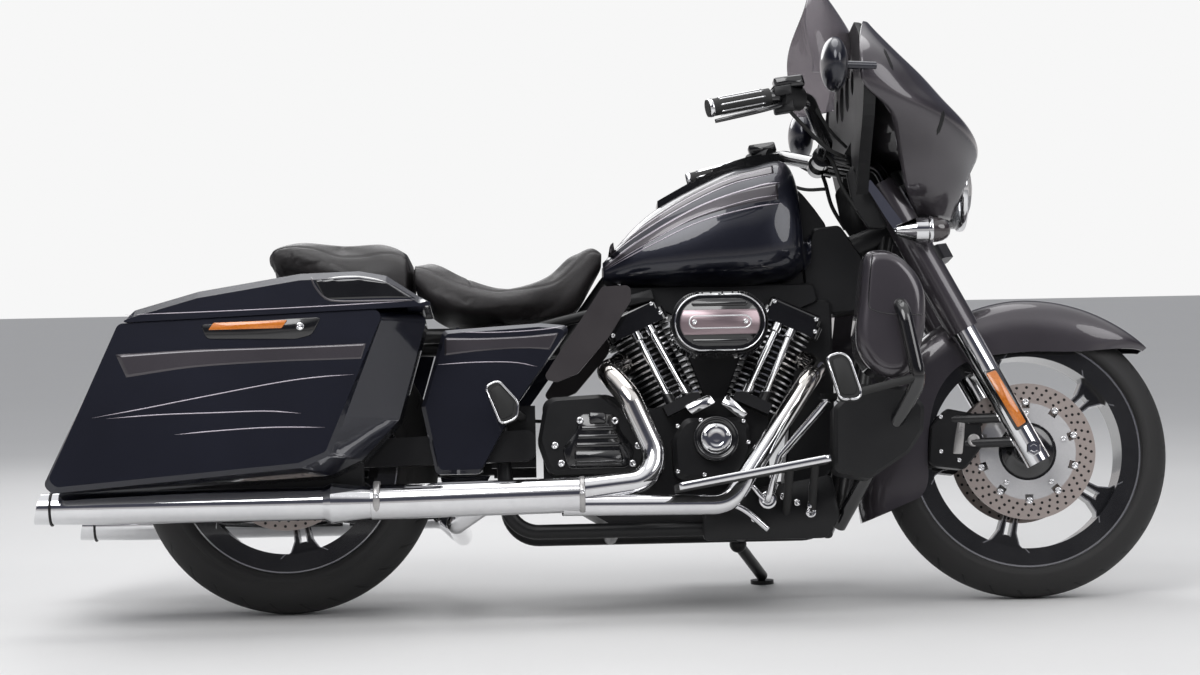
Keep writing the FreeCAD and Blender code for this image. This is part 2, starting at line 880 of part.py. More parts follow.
def clamp_heights():
    """Heights of the lower and upper fork clamps, seated on the ends of the head tube."""
    reach = S.head_tube_length / 2 + S.seat_gap + S.clamp_thickness / 2
    rise = reach * math.cos(math.radians(S.rake_angle))
    return S.head_height - rise, S.head_height + rise


CLAMP_SHARES = (
    # shares of the clamp's reach, forwards, and of half the fork's track
    (-1.0, -1.22), (0.2, -1.22), (1.0, -0.36), (1.0, 0.36), (0.2, 1.22), (-1.0, 1.22), (-0.6, 0.36),
    (-0.6, -0.36),
)


def fork_clamps():
    """Two clamps on one steering stem, bored for the fork's covers."""
    low, high = clamp_heights()
    whole = rod(steering_point(low), steering_point(high), S.stem_radius)
    outline = [Vector(a * S.clamp_reach, b * S.fork_track / 2, -S.clamp_thickness / 2)
               for a, b in CLAMP_SHARES]
    for height in (low, high):
        plate = Part.Face(rounded_wire(outline, S.slider_radius)).extrude(Z_AXIS * S.clamp_thickness)
        plate.Placement = steering_frame(height)
        whole = whole.fuse(plate)
    for side in SIDES:
        whole = whole.cut(rod(fork_point(side, 0), fork_point(side, cover_top() + S.overrun),
                              S.cover_radius + S.seat_gap))
    return solid_node("fork_clamps", whole)


def slider_top():
    return S.slider_length - S.slider_drop


def cover_top():
    return slider_top() + S.cover_length


def fork_legs(fender_shell, caliper):
    """Lower sliders with lugs for the calipers and the fender, and the covers above them."""
    centre = front_centre()
    bore = cross_rod(centre, S.front_axle_radius + S.seat_gap, -S.fork_track, S.fork_track)
    fender_edge = S.front_fender_half_width - S.fender_wall
    sliders = []
    for side in SIDES:
        leg = rod(fork_point(side, -S.slider_drop), fork_point(side, slider_top()), S.slider_radius)
        stay = fork_point(side, S.fender_stay_height)
        stay = rod(stay, Vector(stay.x, side * fender_edge, stay.z), S.fork_lug_radius)
        leg = leg.fuse(seated(stay, fender_shell, Y_AXIS * side))
        for share in CALIPER_LUG_SHARES:
            root = fork_point(side, S.caliper_length * share)
            end = Vector(root.x - S.caliper_length, side * S.caliper_outer * 0.9, root.z)
            block = caliper if side == RIGHT else mirrored(caliper)
            leg = leg.fuse(seated(rod(root, end, S.fork_lug_radius), block, X_AXIS))
        sliders.append(leg.cut(bore))
    solid_node("fork_sliders", Part.Compound(sliders))
    covers = [rod(fork_point(side, slider_top() + S.seat_gap), fork_point(side, cover_top()), S.cover_radius)
              for side in SIDES]
    solid_node("fork_covers", Part.Compound(covers))


CALIPER_LUG_SHARES = (0.16, 0.62)
CALIPER_SHARES = ((-1.72, -0.22), (-1.66, 0.42), (-1.38, 0.74), (-0.82, 0.62), (-0.78, 0.1), (-1.1, -0.3))


def front_caliper(fender_shell):
    """Right caliper behind its fork leg, slotted round the disc and clear of the fender."""
    centre = front_centre()
    outline = scaled(CALIPER_SHARES, centre.x, centre.z, S.caliper_length, S.caliper_length)
    block = crowned(outline, -S.caliper_inner, -S.caliper_outer, S.slider_radius / 2, S.pad_bevel)
    face = S.front_hub_width / 2
    slot = cross_rod(centre, S.disc_radius + S.moving_gap, -face - S.disc_thickness - S.moving_gap,
                     -face + S.moving_gap)
    return largest(block.cut(slot).cut(fender_shell))


FRONT_FENDER_STATIONS = (
    # angle, and shares: outer radius, skirt radius, half width
    (39, 1.073, 1.585, 0.36), (45, 1.055, 1.432, 0.73),
    (53, 1.038, 1.243, 0.92), (65, 1.020, 1.081, 0.99),
    (78, 1.006, 1.009, 1.0), (93, 0.997, 0.986, 1.0),
    (108, 0.988, 1.009, 1.0), (125, 0.994, 1.072, 1.0),
    (145, 1.012, 1.063, 1.0), (165, 1.030, 1.009, 1.0),
    (180, 1.058, 1.0, 1.0), (193, 1.105, 1.027, 0.98),
    (202, 1.146, 1.180, 0.96),
)

REAR_FENDER_STATIONS = (
    (48, 1.0, 1.28, 1.0), (70, 1.0, 1.16, 1.0),
    (95, 1.0, 1.0, 1.0), (120, 1.0, 1.0, 1.0),
    (145, 1.005, 1.0, 1.0), (160, 1.01, 1.04, 0.98),
    (172, 1.02, 1.16, 0.94),
)


def arch_half(centre, angle, radius, skirt, half_width):
    """Points over a fender's arch in the wheel's radial plane, from left skirt to right."""
    fullness = 3.2
    count = 15
    turn = math.radians(angle)
    out = Vector(math.cos(turn), 0, math.sin(turn))
    points = []
    for step in range(count):
        sweep = math.pi * step / (count - 1)
        cosine = math.cos(sweep)
        across = math.copysign(abs(cosine) ** (2 / fullness), cosine)
        rise = abs(math.sin(sweep)) ** (2 / fullness)
        points.append(centre + out * (skirt + (radius - skirt) * rise) + Y_AXIS * (half_width * across))
    return points


def arch_section(centre, angle, radius, skirt, half_width):
    """Closed section of a fender's wall in the wheel's radial plane."""
    outer = arch_half(centre, angle, radius, skirt, half_width)
    inner = arch_half(centre, angle, radius - S.fender_wall, skirt, half_width - S.fender_wall)
    curves = []
    for points in (outer, inner[::-1]):
        curve = Part.BSplineCurve()
        curve.interpolate(points)
        curves.append(curve.toShape())
    left = Part.LineSegment(inner[0], outer[0]).toShape()
    right = Part.LineSegment(outer[-1], inner[-1]).toShape()
    return Part.Wire([curves[0], right, curves[1], left])


def fender(centre, stations, radius, skirt, half_width):
    """Arched shell over a wheel, through one section at each angle."""
    sections = [arch_section(centre, angle, radius * a, skirt * b, half_width * c)
                for angle, a, b, c in stations]
    return Part.makeLoft(sections, True, False)


def front_end():
    """Fender, calipers and fork, each seated on the next."""
    shell = fender(front_centre(), FRONT_FENDER_STATIONS, S.front_fender_radius,
                   S.front_fender_skirt, S.front_fender_half_width)
    solid_node("front_fender", shell)
    caliper = front_caliper(shell)
    solid_node("front_calipers", both_sides(caliper))
    fork_clamps()
    fork_legs(shell, caliper)


# Fairing

FAIRING_STATIONS = (
    # shares: height, nose set back, rear edge set back, half width
    (0.0, 0.20, 0.48, 0.27), (0.08, 0.127, 0.573, 0.42), (0.26, 0.04, 0.667, 0.62), (0.37, 0.0, 0.72, 0.78),
    (0.48, 0.087, 0.793, 0.92), (0.58, 0.22, 0.953, 0.99), (0.70, 0.38, 0.987, 1.0),
    (0.80, 0.533, 0.98, 0.95), (0.91, 0.68, 0.947, 0.80), (1.0, 0.793, 0.90, 0.62),
)


def fairing_curve(station, inset, rear=None):
    """Level curve round the fairing's nose, from its right rear edge to its left."""
    share, nose_share, rear_share, wide = station
    height = S.fairing_base + S.fairing_height * share
    nose = S.fairing_nose - S.fairing_depth * nose_share - inset
    back = rear if rear else S.fairing_nose - S.fairing_depth * rear_share
    half = S.fairing_half_width * wide - inset
    fullness = 0.9
    count = 17
    points = []
    for step in range(count):
        sweep = math.pi * (step / (count - 1) - 0.5)
        forward = max(math.cos(sweep), 0) ** fullness
        across = math.copysign(abs(math.sin(sweep)) ** fullness, math.sin(sweep))
        points.append(Vector(back + (nose - back) * forward, half * across, height))
    curve = Part.BSplineCurve()
    curve.interpolate(points)
    return curve.toShape(), points


def fairing_levels():
    """Evenly spaced levels of the fairing, on a smooth curve through the rows of its table."""
    form = Part.BSplineCurve()
    form.interpolate(Points=[Vector(*row[1:]) for row in FAIRING_STATIONS],
                     Parameters=[row[0] for row in FAIRING_STATIONS])
    count = 2 * len(FAIRING_STATIONS)
    shares = [step / count for step in range(count + 1)]
    return [(share, *form.value(share)) for share in shares]


def fairing_body(inset, rear=None):
    """Solid inside the fairing's surface, closed by a straight line at its back."""
    wires = []
    for station in fairing_levels():
        curve, points = fairing_curve(station, inset, rear)
        wires.append(Part.Wire([curve, Part.LineSegment(points[-1], points[0]).toShape()]))
    return Part.makeLoft(wires, True, True)


def fairing_wall():
    """The fairing's wall, lofted through level strips, with a roof across its top."""
    strips = []
    for station in fairing_levels():
        outer, outer_points = fairing_curve(station, 0)
        inner, inner_points = fairing_curve(station, S.fairing_wall)
        right = Part.LineSegment(inner_points[0], outer_points[0]).toShape()
        left = Part.LineSegment(outer_points[-1], inner_points[-1]).toShape()
        strips.append(Part.Wire([outer, left, inner, right]))
    curve, points = fairing_curve(FAIRING_STATIONS[-1], S.fairing_wall / 2)
    edge = Part.LineSegment(points[-1], points[0]).toShape()
    roof = Part.Face(Part.Wire([curve, edge])).extrude(Z_AXIS * -S.fairing_wall)
    roof.translate(Z_AXIS * (-S.fairing_wall / 2))
    return Part.makeLoft(strips, True, True).fuse(roof)


def fairing():
    """Bellied shell, open to the rear, with openings for the headlamp, head tube and fork."""
    outer = fairing_body(0)
    lamp_start = Vector(S.fairing_nose - S.fairing_depth / 2, 0, S.headlamp_height)
    lamp = rod(lamp_start, lamp_start + X_AXIS * S.fairing_depth, S.headlamp_radius + S.seat_gap)
    reach = S.head_tube_radius * 2
    neck = rod(steering_point(clamp_heights()[0]), steering_point(S.fairing_base + S.fairing_height / 3),
               S.clamp_width / 2 + reach)
    legs = [rod(fork_point(side, slider_top()), fork_point(side, cover_top() + S.overrun),
                S.cover_radius + S.moving_gap) for side in SIDES]
    shell = largest(fairing_wall().cut(lamp).cut(neck.fuse(legs)))
    solid_node("fairing", shell)
    dash = inner_fairing(shell)
    windshield(outer.fuse(dash))
    mirrors(shell)


def inner_fairing(shell):
    """Dash that closes the fairing's back, notched for the handlebar and the fork."""
    block = fairing_body(S.fairing_wall + S.seat_gap, S.dash_back)
    half = S.fairing_half_width
    top = S.fairing_base + S.fairing_height
    slab = Part.makeBox(S.dash_depth, half * 2, top - S.fairing_base,
                        Vector(S.dash_back, -half, S.fairing_base))
    wings = largest(block.common(slab).cut(shell))
    notch = Part.makeBox(S.fairing_depth, S.dash_notch_half_width * 2, S.dash_notch_height - S.fairing_base,
                         Vector(S.dash_back - S.overrun, -S.dash_notch_half_width, S.fairing_base))
    bar_notch = Part.makeBox(S.fairing_depth, S.bar_notch_half_width * 2, S.bar_notch_height - S.fairing_base,
                             Vector(S.dash_back - S.overrun, -S.bar_notch_half_width, S.fairing_base))
    dash = wings.cut(notch).cut(bar_notch)
    gauge_height = (S.bar_notch_height + top) / 2
    for share in GAUGE_SHARES:
        face = Vector(S.dash_back, half * share, gauge_height)
        radius = S.signal_radius * (1.6 if abs(share) < 0.3 else 1.0)
        dash = dash.cut(rod(face - X_AXIS * S.overrun, face + X_AXIS * S.dash_depth / 4, radius))
    dash = largest(dash)
    solid_node("inner_fairing", dash)
    return dash


GAUGE_SHARES = (-0.42, -0.15, 0.15, 0.42)


def headlamp():
    """Round lamp: a bucket behind a domed lens, seated in the fairing's opening."""
    body = new_body("headlamp")
    front = F.fairing_nose - F.headlamp_setback
    rear = front - F.headlamp_depth
    dome = front + F.headlamp_dome
    radius = F.headlamp_radius
    profile = [(rear, 0), (rear, radius * 0.7), (rear + F.headlamp_depth / 3, radius),
               (front, radius), (front + F.headlamp_dome * 0.35, radius * 0.9),
               (front + F.headlamp_dome * 0.75, radius * 0.55), (dome - F.headlamp_dome * 0.04, radius * 0.2),
               (dome, 0)]
    revolve_sketch(body, sketch_on(body, "LampSection", "XY_Plane", profile), "Lamp")
    body.Tip = body.getObject("Lamp")
    keep(body, Placement(Vector(0, 0, S.headlamp_height), Rotation()))


WINDSHIELD_STATIONS = (
    # shares: height, front and rear as shares of the depth, half width
    (0.0, 0.90, 0.10, 1.04), (0.40, 0.88, 0.04, 1.0), (0.62, 0.70, 0.06, 0.93), (0.80, 0.50, 0.16, 0.78),
    (0.92, 0.36, 0.24, 0.58), (1.0, 0.29, 0.27, 0.30),
)


def windshield_section(station, inset):
    """Level arc of the screen: its front at the middle, its edges swept back."""
    share, front_share, rear_share, wide = station
    height = S.windshield_base + S.windshield_height * share
    front = S.windshield_rear + S.windshield_depth * front_share - inset
    rear = S.windshield_rear + S.windshield_depth * rear_share - inset / 2
    half = S.windshield_half_width * wide - inset
    points = []
    count = 11
    for step in range(count):
        sweep = math.pi * (step / (count - 1) - 0.5)
        points.append(Vector(rear + (front - rear) * math.cos(sweep), half * math.sin(sweep), height))
    curve = Part.BSplineCurve()
    curve.interpolate(points)
    return curve.toShape(), points


def windshield(fairing_solid):
    """Short tinted screen: a bent sheet trimmed where it stands on the fairing."""
    wires = []
    for station in WINDSHIELD_STATIONS:
        outer, outer_points = windshield_section(station, 0)
        inner, inner_points = windshield_section(station, S.windshield_thickness)
        right = Part.LineSegment(outer_points[-1], inner_points[-1]).toShape()
        left = Part.LineSegment(inner_points[0], outer_points[0]).toShape()
        wires.append(Part.Wire([outer, right, inner, left]))
    screen = Part.makeLoft(wires, True, False)
    solid_node("windshield", seated(screen, fairing_solid, Z_AXIS))


def turn_signals():
    """Bullet lamps on short arms from the fork's covers."""
    pieces = []
    for side in SIDES:
        root = fork_point_at(side, S.signal_height)
        lens = Vector(root.x + S.signal_length / 2, side * S.signal_offset, S.signal_height)
        tail = lens - X_AXIS * S.signal_length
        shell = Part.makeCone(S.signal_radius * 0.4, S.signal_radius, S.signal_length * 0.55, tail, X_AXIS)
        barrel = rod(tail + X_AXIS * S.signal_length * 0.55, lens, S.signal_radius)
        dome = Part.makeSphere(S.signal_radius, lens)
        arm = rod(root, Vector(root.x, lens.y, lens.z), S.signal_arm_radius)
        cover = rod(fork_point(side, 0), fork_point(side, cover_top()), S.cover_radius + S.seat_gap)
        lamp = shell.fuse([barrel, dome, seated(arm, cover, Y_AXIS * side)])
        pieces.append(lamp.removeSplitter())
    solid_node("turn_signals", Part.Compound(pieces))


def mirrors(fairing_solid):
    """Two pods behind the fairing's sides, each on a stalk seated on the fairing."""
    pieces = []
    for side in SIDES:
        centre = Vector(S.mirror_x, side * S.mirror_offset, S.mirror_z)
        pod = Part.makeSphere(S.mirror_height / 2)
        squash = FreeCAD.Matrix()
        squash.scale(S.mirror_depth / S.mirror_height, S.mirror_width / S.mirror_height, 1.0)
        pod = pod.transformGeometry(squash)
        pod.translate(centre)
        end = Vector(S.dash_back + S.dash_depth, side * (S.fairing_half_width - S.fairing_wall), S.mirror_z)
        stalk = seated(rod(centre, end, S.mirror_stalk_radius), fairing_solid, -X_AXIS)
        pieces.append(pod.fuse(stalk))
    solid_node("mirrors", Part.Compound(pieces))


# Handlebar

BAR_SHARES = (
    # shares of the sweep back, of the reach outwards and of the rise, from grip to middle
    (-1.0, -1.0, 1.0), (-0.545, -0.948, 1.6), (-0.212, -0.775, 1.81), (0.008, -0.282, 0.476),
    (-0.008, -0.122, 0.0),
)


def bar_points():
    """Handlebar's route from the right grip to the left."""
    start = Vector(S.bar_centre_x, 0, S.bar_centre_z)
    right = spread(BAR_SHARES, start, Vector(S.bar_sweep, S.bar_reach, S.bar_rise))
    return right + [Vector(p.x, -p.y, p.z) for p in reversed(right)]


def handlebar():
    """Bent bar on two risers from the upper fork clamp, with its grips and controls."""
    points = bar_points()
    bar = tube(points, S.bar_radius, S.bar_bend)
    top = steering_frame(clamp_heights()[1])
    half_clamp = S.riser_radius * 1.2
    for side in SIDES:
        local = Vector(-S.clamp_reach * 0.2, side * S.riser_offset, S.clamp_thickness / 2 + S.seat_gap)
        foot = top.multVec(local)
        knee = top.multVec(local + Z_AXIS * S.clamp_thickness)
        head = Vector(S.bar_centre_x, side * S.riser_offset, S.bar_centre_z)
        bar = bar.fuse([tube([foot, knee, head], S.riser_radius, S.clamp_thickness),
                        cross_rod(head, S.bar_radius * 1.5, head.y - half_clamp, head.y + half_clamp)])
    solid_node("handlebar", bar)
    sheath = tube(points, S.bar_radius + S.seat_gap, S.bar_bend)
    grips = []
    controls = []
    for end, near in ((points[0], points[1]), (points[-1], points[-2])):
        along = (near - end).normalize()
        sleeve = rod(end - along * S.grip_overhang, end + along * S.grip_length, S.grip_radius)
        grips.append(largest(sleeve.cut(sheath)))
    for near, far in ((points[1], points[2]), (points[-2], points[-3])):
        along = (far - near).normalize()
        start = near + along * (S.control_length * 0.39)
        block = rod(start, start + along * S.control_length, S.control_radius)
        controls.append(block.cut(sheath))
    solid_node("grips", Part.Compound(grips))
    solid_node("bar_controls", Part.Compound(controls))


# Frame and running gear

RAIL_SHARES = (
    # shares of the frame's length from its rear end, of the rails' half track, and of its height
    (0.990, 0.10, 1.488), (0.934, 0.59, 0.714), (0.876, 1.0, 0.0), (0.298, 1.0, 0.0), (0.287, 1.0, 0.991),
)
BACKBONE_SHARES = ((0.863, 0.0), (0.516, 0.0), (0.400, -0.456))


def strut_offset():
    """Lateral place of the rear struts, just clear of the rear fender's sides."""
    return S.rear_fender_half_width + S.rail_radius + S.seat_gap * 2


def rail_path(side):
    """One rail: down from the head, along the floor of the frame, up and back to its tail."""
    start = Vector(S.frame_rear, 0, S.rail_height)
    points = spread(RAIL_SHARES, start, Vector(S.frame_length, side * S.rail_half_track, S.frame_height))
    height = S.rail_height + S.frame_height
    turn = Vector(S.frame_rear + S.frame_length * 0.234, side * strut_offset(), height)
    return points + [turn, Vector(S.frame_rear, side * strut_offset(), height)]


def rail(side, margin=0.0):
    return tube(rail_path(side), S.rail_radius + margin, S.rail_bend)


def backbone_path():
    points = [steering_point(S.head_height)]
    for along, up in BACKBONE_SHARES:
        points.append(Vector(S.frame_rear + S.frame_length * along, 0,
                             S.backbone_height + S.frame_height * up))
    return points


SEAT_TUBE_SHARES = (
    # shares of the frame's length from its rear end, of the rails' half track, and of its height
    (0.453, 0.0, 1.134), (0.468, 0.83, 1.106), (0.288, 1.0, 0.98),
)


def seat_tube(side, margin=0.0):
    """Tube from the backbone out and back to the top of a rail, below the seat's edge."""
    start = Vector(S.frame_rear, 0, S.rail_height)
    points = spread(SEAT_TUBE_SHARES, start, Vector(S.frame_length, side * S.rail_half_track, S.frame_height))
    return tube(points, S.seat_bar_radius + margin, S.rail_bend / 2)


def seat_bar_path():
    """Bar that rises between the rails and carries the seat."""
    height = S.rail_height + S.frame_height
    top = S.seat_base - S.seat_gap - S.seat_bar_radius
    middle = S.seat_rear + S.seat_length * 0.45
    side = S.seat_half_width * 0.55
    right = [Vector(middle - S.rail_radius * 2, -S.rail_half_track, height), Vector(middle, -side, top)]
    return right + [Vector(p.x, -p.y, p.z) for p in reversed(right)]


def frame():
    """Head tube, backbone, twin rails, pivot plates and lugs, welded into one piece."""
    head_half = steering_direction() * (S.head_tube_length / 2)
    head_centre = steering_point(S.head_height)
    head = rod(head_centre - head_half, head_centre + head_half, S.head_tube_radius)
    backbone = tube(backbone_path(), S.backbone_radius, S.backbone_bend)
    parts = [backbone, tube(seat_bar_path(), S.seat_bar_radius, S.rail_bend / 2)]
    tail = backbone_path()[-1]
    for side in SIDES:
        path = rail_path(side)
        upright_top = path[4]
        parts.append(rail(side))
        parts.append(seat_tube(side))
        parts.append(rod(tail + Z_AXIS * S.backbone_radius / 2, upright_top - Z_AXIS * S.rail_bend / 2,
                         S.rail_radius))
        parts.append(pivot_plate(side))
        parts.append(stand_lug() if side == LEFT else pedal_lug())
        for share in BAG_PIN_SHARES:
            root = Vector(S.frame_rear + S.frame_length * share, side * strut_offset(), path[-1].z)
            parts.append(rod(root, Vector(root.x, side * (S.bag_inner - S.seat_gap), root.z),
                             S.bag_pin_radius))
    for x in (S.case_rear + S.case_length * 0.3, S.case_rear + S.case_length * 0.9):
        parts.append(cross_rod(Vector(x, 0, S.rail_height), S.rail_radius, -S.rail_half_track,
                               S.rail_half_track))
    stem = rod(head_centre - head_half * 2, head_centre + head_half * 2, S.stem_radius + S.axle_clearance)
    pivot = cross_rod(swingarm_pivot(), S.swingarm_pivot_radius + S.axle_clearance,
                      -S.swingarm_half_width, S.swingarm_half_width)
    solid_node("frame", head.fuse(parts).cut(stem).cut(pivot))


BAG_PIN_SHARES = (0.03, 0.125)


def swingarm_pivot():
    return Vector(S.swingarm_pivot_x, 0, S.swingarm_pivot_z)


def pivot_plate(side):
    """Plate on a rail that carries the swingarm's pivot."""
    plate = Part.makeBox(S.pivot_plate_length, S.pivot_plate_thickness, S.pivot_plate_height)
    low = side * S.rail_half_track - S.pivot_plate_thickness / 2
    plate.translate(Vector(S.pivot_plate_x, low, S.pivot_plate_z))
    return plate


def stand_lug():
    """Lug under which the side stand's knuckle turns."""
    height = S.stand_pivot_z + S.stand_knuckle_radius + S.seat_gap
    lug = Part.makeBox(S.stand_lug_length, S.stand_lug_width, S.stand_lug_thickness)
    lug.translate(Vector(S.stand_pivot_x - S.stand_lug_length / 2, S.rail_half_track, height))
    return lug


def pedal_lug():
    """Ear on the right rail that carries the brake pedal's pivot."""
    radius = S.pedal_radius * 1.5
    root = Vector(S.pedal_x, -S.rail_half_track, S.rail_height)
    knee = Vector(S.pedal_x, radius * 1.5 - pedal_inner(), S.pedal_z)
    boss = cross_rod(knee, radius, S.seat_gap - pedal_inner(), knee.y + radius)
    return rod(root, knee, radius).fuse(boss)


def pedal_inner():
    return S.rail_half_track + S.rail_radius * 3


def swingarm():
    """Two tapered arms with a bridge, on a shaft that turns in the pivot plates."""
    pivot = swingarm_pivot()
    half = S.swingarm_depth / 2
    nose = S.swingarm_pivot_x + S.swingarm_thickness
    outline = [(-S.swingarm_end, S.rear_tyre_radius - half * 0.85),
               (-S.swingarm_end, S.rear_tyre_radius + half * 0.85),
               (nose, pivot.z + half * 1.1), (nose, pivot.z - half * 1.1)]
    arm = panel(outline, -S.swingarm_half_width - S.swingarm_thickness / 2,
                -S.swingarm_half_width + S.swingarm_thickness / 2, half * 0.7)
    bridge = Part.makeBox(S.swingarm_bridge_length, S.swingarm_half_width * 2, S.swingarm_depth,
                          Vector(S.swingarm_bridge_x, -S.swingarm_half_width, pivot.z - half))
    shaft = cross_rod(pivot, S.swingarm_pivot_radius, -S.swingarm_half_width, S.swingarm_half_width)
    whole = arm.fuse([mirrored(arm), bridge, shaft])
    reach = S.swingarm_half_width + S.swingarm_thickness
    solid_node("swingarm", whole.cut(cross_rod(rear_centre(), S.rear_axle_radius + S.seat_gap, -reach,
                                               reach)))


def belt_loop(extra):
    """Outline of the belt's run round both pulleys, so far outside them."""
    rear = rear_centre()
    front = Vector(S.drive_pulley_x, 0, S.drive_pulley_z)
    rear_radius = S.pulley_radius + S.seat_gap + extra
    front_radius = S.drive_pulley_radius + S.seat_gap + extra
    run = front - rear
    tilt = math.atan2(run.z, run.x)
    turn = math.acos((rear_radius - front_radius) / run.Length)
    along = Vector(run).normalize()
    ends = []
    for centre, radius in ((rear, rear_radius), (front, front_radius)):
        for sign in SIDES:
            angle = tilt - sign * turn
            ends.append(centre + Vector(math.cos(angle), 0, math.sin(angle)) * radius)
    return Part.Face(Part.Wire([
        Part.LineSegment(ends[0], ends[2]).toShape(),
        Part.Arc(ends[2], front + along * front_radius, ends[3]).toShape(),
        Part.LineSegment(ends[3], ends[1]).toShape(),
        Part.Arc(ends[1], rear - along * rear_radius, ends[0]).toShape()]))


def drive_belt():
    """Belt loop between the gearbox pulley and the rear pulley."""
    ring = belt_loop(S.belt_thickness).cut(belt_loop(0))
    ring.translate(Vector(0, belt_inner(), 0))
    solid_node("drive_belt", ring.extrude(Vector(0, S.belt_width, 0)))


# Engine

def barrel_axis(end, distance):
    return crank_centre() + cylinder_direction(end) * distance


def fins_end():
    return S.barrel_start + S.barrel_finned_length


def cylinders():
    """Two finned cylinders in a vee, each one revolved about its own axis."""
    pieces = []
    for end in (REAR, FRONT):
        barrel = rod(barrel_axis(end, S.barrel_start - S.overrun), barrel_axis(end, fins_end()),
                     S.barrel_radius)
        step = S.barrel_finned_length / S.fin_count
        fins = []
        for index in range(int(S.fin_count)):
            low = S.barrel_start + step * (index + 0.5)
            fins.append(rod(barrel_axis(end, low), barrel_axis(end, low + S.fin_thickness), S.fin_radius))
        pieces.append(barrel.fuse(fins))
    solid_node("cylinders", Part.Compound(pieces))


def vee_frame(end, distance):
    """Placement at a distance up a cylinder's axis, with its own Z along that axis."""
    return Placement(barrel_axis(end, distance), Rotation(Y_AXIS, end * S.vee_half_angle))


def rocker_covers():
    """Two-storey covers on the heads: a base as wide as the head and a narrower cap."""
    pieces = []
    length, width, height = S.rocker_length, S.rocker_width, S.rocker_height
    for end in (REAR, FRONT):
        base = Part.makeBox(length, width, height * 0.5, Vector(-length / 2, -width / 2, 0))
        base = base.makeFillet(height * 0.3, [e for e in base.Edges if e.BoundBox.ZLength > height * 0.4])
        cap = Part.makeBox(length * 0.88, width * 0.86, height * 0.5,
                           Vector(-length * 0.44, -width * 0.43, height * 0.5))
        cap = cap.makeFillet(height * 0.2, [e for e in cap.Edges if e.BoundBox.ZMax > height * 0.6])
        cover = base.fuse(cap)
        cover.Placement = vee_frame(end, fins_end() + S.seat_gap)
        pieces.append(cover)
    solid_node("rocker_covers", Part.Compound(pieces))


CASE_SHARES = ((0.0, 0.30), (0.0, 0.98), (0.285, 1.0), (0.49, 0.88), (0.63, 0.957), (0.915, 0.957),
               (1.0, 0.79), (1.0, 0.26), (0.915, 0.0), (0.285, 0.0))


def crankcase():
    """Engine case and gearbox in one block on the frame's cross tubes, with the drive pulley."""
    base = S.rail_height + S.rail_radius + S.seat_gap
    outline = scaled(CASE_SHARES, S.case_rear, base, S.case_length, S.case_height)
    case = panel(outline, -S.case_half_width, S.case_half_width, S.case_corner)
    pulley_centre = Vector(S.drive_pulley_x, 0, S.drive_pulley_z)
    clear = S.drive_pulley_radius + S.belt_thickness + S.moving_gap
    inner = belt_inner() - S.moving_gap
    bay = cross_rod(pulley_centre, clear, inner, S.case_half_width + S.overrun)
    tall = clear * 1.2
    bay = bay.fuse(Part.makeBox(clear * 2, S.case_half_width, tall * 2,
                                Vector(S.drive_pulley_x - clear * 2, inner, S.drive_pulley_z - tall)))
    case = case.cut(bay)
    for end in (REAR, FRONT):
        low = S.barrel_start - S.overrun
        case = case.cut(rod(barrel_axis(end, low), barrel_axis(end, fins_end()),
                            S.barrel_radius + S.seat_gap))
        case = case.cut(rod(barrel_axis(end, S.barrel_start), barrel_axis(end, fins_end()),
                            S.fin_radius + S.fin_thickness / 2))
    pulley = cross_rod(pulley_centre, S.drive_pulley_radius, inner, belt_inner() + S.belt_width)
    solid_node("crankcase", largest(case).fuse(pulley))


CAM_COVER_SHARES = ((0.02, 0.0), (0.0, 0.67), (0.16, 1.0), (0.95, 1.0), (1.0, 0.5), (0.86, 0.0))
GEARBOX_COVER_SHARES = ((0.10, 0.0), (0.0, 0.42), (0.075, 0.965), (0.60, 1.0), (0.79, 0.77), (1.0, 0.29),
                        (0.93, 0.0))
PRIMARY_SHARES = ((0.0, 0.28), (0.0, 0.84), (0.17, 1.0), (0.93, 0.62), (1.0, 0.42), (0.98, 0.045),
                  (0.72, 0.0))


def engine_covers():
    """Cam, gearbox and primary covers, seated on the sides of the engine case."""
    face = S.case_half_width + S.seat_gap
    cam = crowned(scaled(CAM_COVER_SHARES, S.cam_cover_x, S.cam_cover_z, S.cam_cover_length,
                         S.cam_cover_height),
                  -face, -S.cam_cover_reach, S.case_corner, S.cover_bevel)
    centre = Vector(S.timer_cover_x, 0, S.timer_cover_z)
    reach = S.cam_cover_reach + S.timer_cover_thickness
    cam = cam.fuse([cross_rod(centre, S.timer_cover_radius, -reach, -face),
                    cross_rod(centre, S.timer_cover_radius * 0.7, -reach - S.cover_bevel / 2, -face)])
    gearbox = crowned(scaled(GEARBOX_COVER_SHARES, S.gearbox_cover_x, S.gearbox_cover_z,
                             S.gearbox_cover_length, S.gearbox_cover_height),
                      -face, -S.gearbox_cover_reach, S.case_corner, S.cover_bevel)
    primary = crowned(scaled(PRIMARY_SHARES, S.primary_x, S.primary_z, S.primary_length, S.primary_height),
                      face, S.primary_reach, S.case_corner * 2, S.cover_bevel * 2)
    solid_node("engine_covers", Part.Compound([cam, gearbox, primary]))


